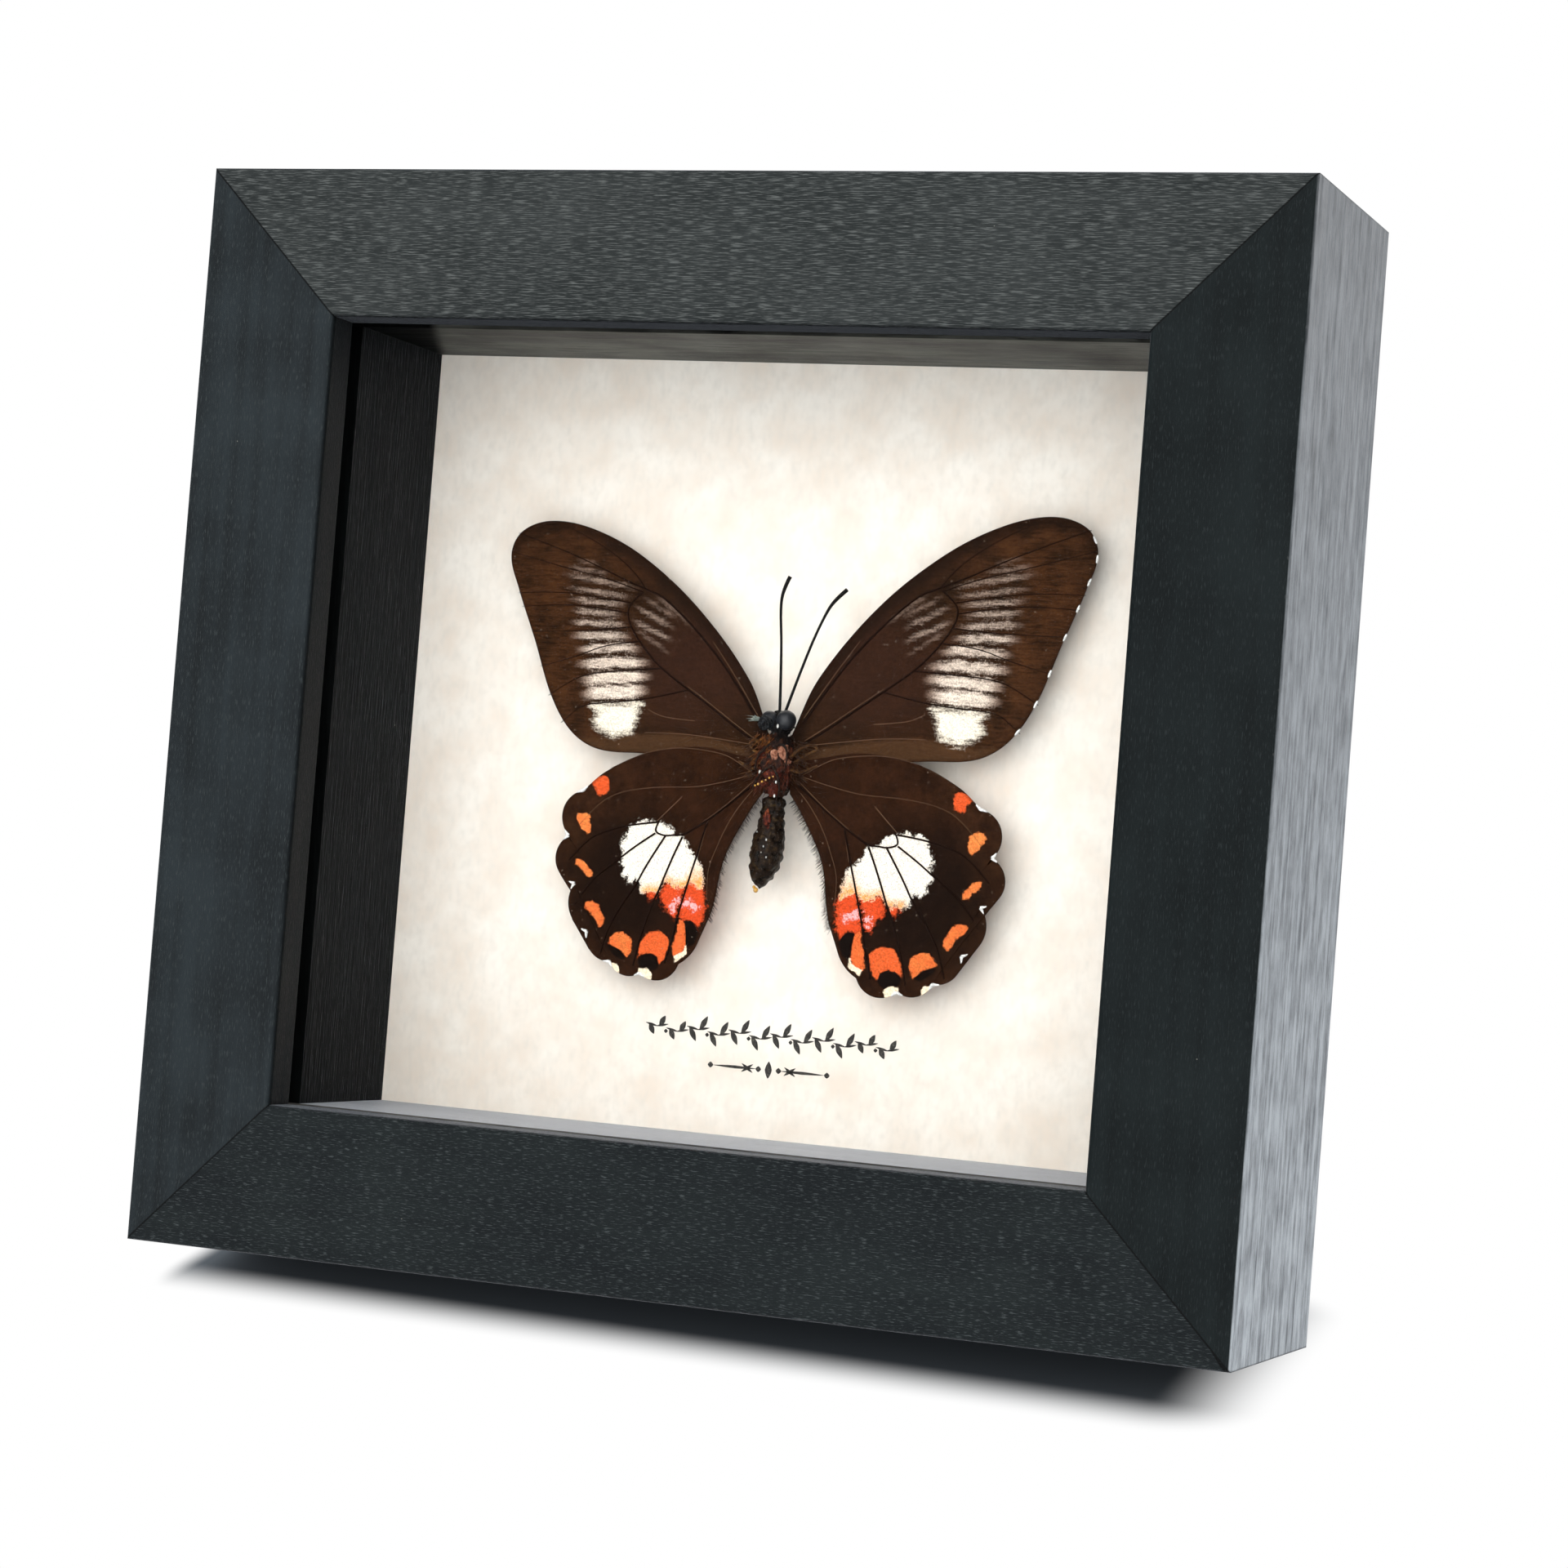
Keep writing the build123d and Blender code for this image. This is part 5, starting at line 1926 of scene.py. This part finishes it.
    def legs_and_tongue(self) -> None:
        """Fold the leg stumps over the front and coil the tongue beside the head."""
        legs = (
            ((-0.4, -2.2, 2.6), (-1.5, -2.9, 1.6), (-2.4, -2.4, 0.0), (-2.2, -2.2, -1.4)),
            ((0.5, -2.3, 2.4), (1.6, -2.9, 2.9), (2.3, -2.4, 1.2), (1.9, -2.4, -0.6)),
            ((0.2, -2.5, -0.2), (-0.9, -3.0, -0.9), (-2.2, -2.6, -2.6), (-2.6, -1.9, -3.4)),
            ((0.3, -2.5, -0.4), (1.3, -3.0, -1.6), (1.5, -2.5, -3.4), (0.9, -2.0, -4.6)),
        )
        shin = Cuticle(
            "umber_leg_shin", dark="#0D0705", brown="#24140C", light="#5B3D24", patch=0.5
        )
        self.bundle("leg_stumps", [(leg, (0.22, 0.19, 0.14, 0.08)) for leg in legs], shin)
        coil = []
        for step in range(27):
            shrink, turn = 1 - step / 34, step * 0.62
            x = -1.5 + 0.9 * shrink * math.cos(turn)
            coil.append((x, -2.1 - 0.02 * step, 5.2 + 1.0 * shrink * math.sin(turn)))
        horn = Cuticle(
            "glossy_black_horn", dark="#08090A", brown="#191A1C", light="#3F4246", patch=0.5,
            roughness=0.2,
        )
        self.bundle("coiled_tongue", [(coil, np.linspace(0.24, 0.15, len(coil)))], horn)

    def root_loops(self) -> None:
        """Bend the golden joints of the wings' roots."""
        loops = (
            ((2.2, -1.5, 1.0), (3.2, -0.7, 2.5), (4.9, -0.35, 2.9), (5.6, -0.3, 2.3),
             (4.4, -0.4, 1.8), (2.6, -1.1, 0.4)),
            ((-2.2, -1.4, 2.6), (-3.4, -0.7, 3.3), (-4.3, -0.4, 2.5), (-3.5, -0.5, 1.5),
             (-2.4, -1.2, 1.4)),
            ((2.2, -1.3, -0.6), (3.2, -0.6, -1.0), (4.4, -0.3, -0.4), (5.6, -0.25, 0.2)),
            ((-2.2, -1.3, -0.4), (-3.2, -0.6, -0.9), (-4.6, -0.3, -0.3), (-5.6, -0.25, 0.1)),
        )
        joint = Cuticle(
            "golden_wing_joint", dark="#2A160A", brown="#583818", light="#9A7440", patch=0.5
        )
        radii = (0.26, 0.2, 0.17, 0.15, 0.14, 0.12)
        self.bundle("golden_root_loops", [(loop, radii) for loop in loops], joint)

    def glints_and_dots(self) -> None:
        """Set near-white beads on the front as painted glints, and amber ones as its orange marks.
        """
        # near-white beads: painted glints on the body
        clear = (
            (-1.45, -2.75, -1.2, 0.2), (0.95, -2.75, -2.4, 0.15), (0.7, -2.35, -4.2, 0.17),
            (0.0, -2.2, -10.0, 0.12), (-0.3, -2.3, -10.9, 0.1), (0.15, -2.15, -12.3, 0.11),
            (-0.6, -2.2, -11.7, 0.07), (-1.6, -1.7, -9.0, 0.08), (0.5, -2.55, 4.95, 0.2),
        )
        amber = (
            (-1.45, -0.9, -16.7, 0.34), (-1.65, -1.1, -16.3, 0.22), (-2.1, -2.4, -3.0, 0.14),
            (-1.6, -2.6, -2.8, 0.17), (-1.05, -2.7, -2.45, 0.15), (-0.5, -2.8, -2.2, 0.13),
            (0.0, -2.85, -1.9, 0.15), (0.5, -2.8, -1.7, 0.12),
        )
        glint_white = GlossyBead("painted_glint_bead")
        yolk = GlossyBead("dried_amber_drop", tone="#D9A02E")
        for name, beads, finish, shape in (
            ("painted_glint_beads", clear, glint_white, (0.8, 0.8, 1.4, 1.0)),
            ("dried_amber_drops", amber, yolk, (1.0, 1.0, 1.0, 1.0)),
        ):
            draft = bmesh.new()
            for *where, radius in beads:
                bmesh.ops.create_uvsphere(
                    draft, u_segments=12, v_segments=8, radius=radius,
                    matrix=Matrix.Translation(where) @ Matrix.Diagonal(shape),
                )
            self.piece(name, draft, finish)

    def tufts(self) -> None:
        """Comb tufts of hair over the thorax, the head and the wing roots."""
        golden = Cuticle("golden_hair", dark="#3F1F0B", brown="#7A4519", light="#C08A42")
        chestnut = Cuticle("chestnut_hair", dark="#240D07", brown="#54200F", light="#86431F")
        sooty = Cuticle("sooty_hair", dark="#050404", brown="#0E0A08", light="#1E1713")
        umber = Cuticle("umber_hair", dark="#1E0F07", brown="#3B2212", light="#7A5830")
        silver = Cuticle("silver_palp_hair", dark="#5D6660", brown="#8E9A90", light="#C2CBC0")
        # name, finish, number of hairs, middle of the tuft, half its size, lean of its hairs
        kinds = (
            ("golden_hair", golden, 80, (-1.3, -1.9, 2.2), (1.1, 0.5, 1.8), (-0.5, -0.3, -1.0)),
            ("chestnut_hair", chestnut, 260, (0.0, -1.9, -0.4), (2.3, 0.5, 2.8), (0.1, -0.3, -1.0)),
            ("sooty_hair", sooty, 120, (0.3, -1.3, 3.6), (1.5, 0.6, 0.7), (0.2, -0.3, -1.0)),
            ("left_root_hair", umber, 130, (-3.1, -0.75, 0.6), (0.9, 0.35, 2.7),
             (-0.8, -0.05, -0.5)),
            ("right_root_hair", umber, 130, (3.1, -0.75, 0.6), (0.9, 0.35, 2.7),
             (0.8, -0.05, -0.5)),
            ("silver_palp_hair", silver, 26, (-2.5, -1.6, 5.8), (0.2, 0.2, 0.25),
             (-1.0, -0.2, 0.1)),
        )
        chance = np.random.default_rng(5)
        for name, finish, count, middle, spread, lean in kinds:
            drawn = []
            for _ in range(count):
                root = np.array(middle) + chance.uniform(-1, 1, 3) * spread
                way = np.array(lean) + chance.uniform(-0.7, 0.7, 3) * (1, 0.4, 0.5)
                length = chance.uniform(0.5, 1.3)
                bent = root + way * length * 0.5 + (0, -0.12, 0)
                drawn.append(((root, bent, root + way * length), (0.05, 0.04, 0.015)))
            self.bundle(name, drawn, finish, sides=1)


@dataclass(frozen=True)
class Ornament:
    """A printer's vine and a small lozenge rule, in ink on the paper below the specimen.

    Each is given by the middle (x, z) and the length, in the case's millimetres.
    """

    ink_depth: float = 0.02
    vine: Triple = (1.3, 33.1, 36.0)
    rule: Triple = (1.3, 28.7, 16.0)
    leaves: int = 24

    def leaf(self, draft: Draft, where: Point, turn: float, long: float, wide: float) -> None:
        """Print one pointed leaf.

        Args:
            draft: bmesh that gets the leaf.
            where: its middle on the paper.
            turn: its direction in degrees from the right.
            long: half of its length.
            wide: half of its width.
        """
        made = bmesh.ops.create_cone(
            draft, cap_ends=True, segments=20, radius1=1.0, radius2=1.0, depth=self.ink_depth
        )["verts"]
        for vert in made:
            vert.co.y *= max(0.0, 1 - abs(vert.co.x)) ** 0.35
        upright = Matrix.Rotation(math.radians(90), 4, "X")
        shape = Matrix.Diagonal((long, wide, 1.0, 1.0))
        turned = Matrix.Rotation(math.radians(turn), 4, "Z")
        placed = Matrix.Translation((where[0], 0, where[1])) @ upright @ turned @ shape
        bmesh.ops.transform(draft, matrix=placed, verts=made)

    def print_vine(self, draft: Draft) -> None:
        """Print a waved stem with leaves on both sides and a few berries.

        Args:
            draft: bmesh that gets the vine.
        """
        x, z, length = self.vine
        for step in range(self.leaves):
            share = (step + 0.5) / self.leaves
            at = x + length * (share - 0.5)
            wave = 0.35 * math.sin(share * math.pi * self.leaves / 2)
            size = 1.0 if abs(share - 0.5) < 0.35 else 0.75
            side = 1 if step % 2 else -1
            self.leaf(draft, (at, z + wave + side * 0.75 * size), 62 * side, 1.1 * size, 0.4)
            self.leaf(draft, (at, z + wave), 12 * side, 0.95, 0.17)
            if step % 4 == 1:
                self.leaf(draft, (at + 0.6, z + wave - 0.75), 90, 0.28, 0.28)

    def print_rule(self, draft: Draft) -> None:
        """Print a rule that is broken by dots, crossed leaves and a lozenge.

        Args:
            draft: bmesh that gets the rule.
        """
        x, z, length = self.rule
        for side in (-1, 1):
            self.leaf(draft, (x + side * length * 0.3, z), 0, length * 0.2, 0.2)
            for near in (0.09, 0.52):
                self.leaf(draft, (x + side * length * near, z), 90, 0.4, 0.4)
            for turn in (35, -35):
                self.leaf(draft, (x + side * length * 0.19, z), turn * side, 1.0, 0.22)
        self.leaf(draft, (x, z), 90, 1.15, 0.5)

    def build(self) -> None:
        """Print both lines."""
        draft = bmesh.new()
        self.print_vine(draft)
        self.print_rule(draft)
        place = Matrix.Translation((0, CASE.paper_front - self.ink_depth / 2 - 0.005, 0))
        mesh = from_bmesh(draft, place, smooth=False)
        finished("printed_ornament", mesh, PrintedInk("carbon_ink"))


# ---- surroundings
@dataclass(frozen=True)
class Studio:
    """Camera, white floor and soft lamps.

    Attributes:
        lens, camera_place: the camera's focal length and its place, in millimetres.
        right, down, forward: its axes in the scene.
        fill: the world's light from below and from above.
        shadow_corners: two corners of the painted shadow's box, in metres.
        shadow_fade: how fast it fades past each.
        shadow_turn: turn of the box about the vertical, in radians.
        shadow_edge: width of its soft edge in metres.
    """

    lens: float = 88.34
    camera_place: Triple = (187.87, -455.20, 182.64)
    right: Triple = (0.92839, 0.37077, -0.02494)
    down: Triple = (0.06215, -0.22112, -0.97326)
    forward: Triple = (-0.36637, 0.90202, -0.22833)
    fill: tuple[float, float] = (0.2, 1.5)
    shadow_corners: tuple[Triple, ...] = (
        (-0.0745, -0.0255, -1.0), (0.062, 0.006, 1.0)
    )
    shadow_fade: tuple[Triple, ...] = ((2.4, 1.0, 1.0), (0.7, 1.0, 1.0))
    shadow_turn: float = 0.04
    shadow_edge: float = 0.011

    def build(self) -> None:
        """Set up the camera, the floor, the lamps and the world."""
        bpy.context.scene.view_settings.view_transform = "Standard"
        self.camera()
        self.floor()
        self.world()
        self.lamp("key_softbox", (-0.2, -1.2, 1.0), (0, 0, 0.06), (2.8, 2.0), 20.0)
        self.lamp("front_fill", (0.1, -1.6, 0.35), (0, 0, 0.06), (2.0, 2.0), 11.5, shadow=False)
        self.lamp("side_softbox", (0.7, 0.8, 0.1), (0.07, 0, 0.05), (0.6, 0.3), 4.0)

    def camera(self) -> None:
        """Place the camera."""
        data = bpy.data.cameras.new("camera")
        data.lens, data.sensor_width, data.sensor_fit = self.lens, 36.0, "HORIZONTAL"
        data.clip_start, data.clip_end = 0.01, 20.0
        camera = bpy.data.objects.new("camera", data)
        axes = (Vector(self.right), -Vector(self.down), -Vector(self.forward))
        turn = Matrix(axes).transposed().to_4x4()
        camera.matrix_world = Matrix.Translation(Vector(self.camera_place) * MM) @ turn
        bpy.context.scene.collection.objects.link(camera)
        bpy.context.scene.camera = camera

    def straight(self, tree: Tree, ray: Outputs) -> Socket:
        """Find whether a ray comes straight from the camera or through glass.

        Args:
            tree: node tree that gets the node.
            ray: the light path's outputs.

        Returns:
            Socket that is 1 for such a ray.
        """
        rays = {0: ray["Is Camera Ray"], 1: ray["Is Transmission Ray"]}
        return add(tree, "Math", rays, operation="MAXIMUM")[0]

    def floor(self) -> None:
        """Lay a floor that is white but for the shadow beside the case.

        It is white to the eye, to mirrors and through glass, and pale grey to all other light; in a
        box beside the case it is dark grey to the eye, a painted shadow over the lamps' own.
        """
        draft = bmesh.new()
        bmesh.ops.create_grid(draft, x_segments=2, y_segments=2, size=6.0)
        mesh = bpy.data.meshes.new("floor")
        draft.to_mesh(mesh)
        draft.free()
        material = bpy.data.materials.new("white_floor")
        material.use_nodes = True
        tree = material.node_tree
        tree.nodes.clear()
        place = add(tree, "TexCoord")["Object"]
        turned = add(tree, "Mapping", {"Vector": place, "Rotation": (0, 0, self.shadow_turn)})[0]
        low, high = self.shadow_corners
        before = add(tree, "VectorMath", {0: low, 1: turned}, operation="SUBTRACT")[0]
        beyond = add(tree, "VectorMath", {0: turned, 1: high}, operation="SUBTRACT")[0]
        short, long = (
            add(tree, "VectorMath", {0: past, 1: fade}, operation="MULTIPLY")[0]
            for past, fade in zip((before, beyond), self.shadow_fade)
        )
        outside = add(tree, "VectorMath", {0: short, 1: long}, operation="MAXIMUM")[0]
        clear = add(tree, "VectorMath", {0: outside}, operation="MAXIMUM")[0]
        far = add(tree, "VectorMath", {0: clear}, operation="LENGTH")["Value"]
        faded = {"Value": far, "From Max": self.shadow_edge}
        away = add(tree, "MapRange", faded, interpolation_type="SMOOTHSTEP")[0]
        ray = add(tree, "LightPath")
        pictured = {0: self.straight(tree, ray), 1: ray["Is Glossy Ray"]}
        seen = add(tree, "Math", pictured, operation="MAXIMUM")[0]
        share = add(tree, "Math", {0: away, 1: seen}, operation="MULTIPLY")[0]
        # inside the shadow's box the floor is dark grey to the eye: a painted shadow
        tone = add(tree, "Mix", {0: seen, 6: "#E6E9ED", 7: "#5A6066"}, data_type="RGBA")[2]
        matt = add(tree, "BsdfDiffuse", {"Color": tone})
        white = add(tree, "Emission", {"Color": "#FFFFFF", "Strength": 1.0})
        both = add(tree, "MixShader", {0: share, 1: matt[0], 2: white[0]})
        add(tree, "OutputMaterial", {"Surface": both[0]})
        mesh.materials.append(material)
        floor = bpy.data.objects.new("floor", mesh)
        bpy.context.scene.collection.objects.link(floor)

    def world(self) -> None:
        """Make the world a soft fill, white to the eye and dark to mirrors that face the viewer."""
        world = bpy.data.worlds.new("studio")
        world.use_nodes = True
        bpy.context.scene.world = world
        tree = world.node_tree
        tree.nodes.clear()
        ray = add(tree, "LightPath")
        direction = add(tree, "TexCoord")["Generated"]
        _, rearward, upward = add(tree, "SeparateXYZ", {0: direction})
        mirrored = add(
            tree, "MapRange",
            {"Value": rearward, "From Min": -0.5, "From Max": 0.5, "To Min": 0.1},
        )[0]
        low, high = self.fill
        soft = add(
            tree, "MapRange",
            {"Value": upward, "From Min": 0.08, "From Max": 0.6, "To Min": low, "To Max": high},
        )[0]
        bounced = add(tree, "Mix", {0: ray["Is Glossy Ray"], 2: soft, 3: mirrored})[0]
        strength = add(tree, "Mix", {0: self.straight(tree, ray), 2: bounced, 3: 1.0})[0]
        sky = add(tree, "Background", {"Color": "#FFFFFF", "Strength": strength})
        add(tree, "OutputWorld", {"Surface": sky[0]})

    def lamp(
        self, name: str, where: Place, aim: Place, size: Place, power: float, shadow: bool = True
    ) -> None:
        """Hang a rectangular soft lamp.

        Args:
            name: the lamp's name.
            where: its place in metres.
            aim: the place that it faces.
            size: its width and height in metres.
            power: its power in watts.
            shadow: whether things in its light cast shadows.
        """
        data = bpy.data.lights.new(name, "AREA")
        data.shape = "RECTANGLE"
        data.size, data.size_y = size
        data.energy = power
        data.use_shadow = shadow
        lamp = bpy.data.objects.new(name, data)
        turn = (Vector(aim) - Vector(where)).to_track_quat("-Z", "Y")
        lamp.matrix_world = Matrix.Translation(where) @ turn.to_matrix().to_4x4()
        bpy.context.scene.collection.objects.link(lamp)


def main() -> None:
    """Dress the case."""
    logging.basicConfig(level=logging.INFO, format="%(name)s: %(message)s")
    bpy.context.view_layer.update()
    Studio().build()
    BoxFrame().dress()
    RearHardware().dress()
    Wings().build()
    Body().build()
    Ornament().build()


if __name__ == "__main__":
    main()
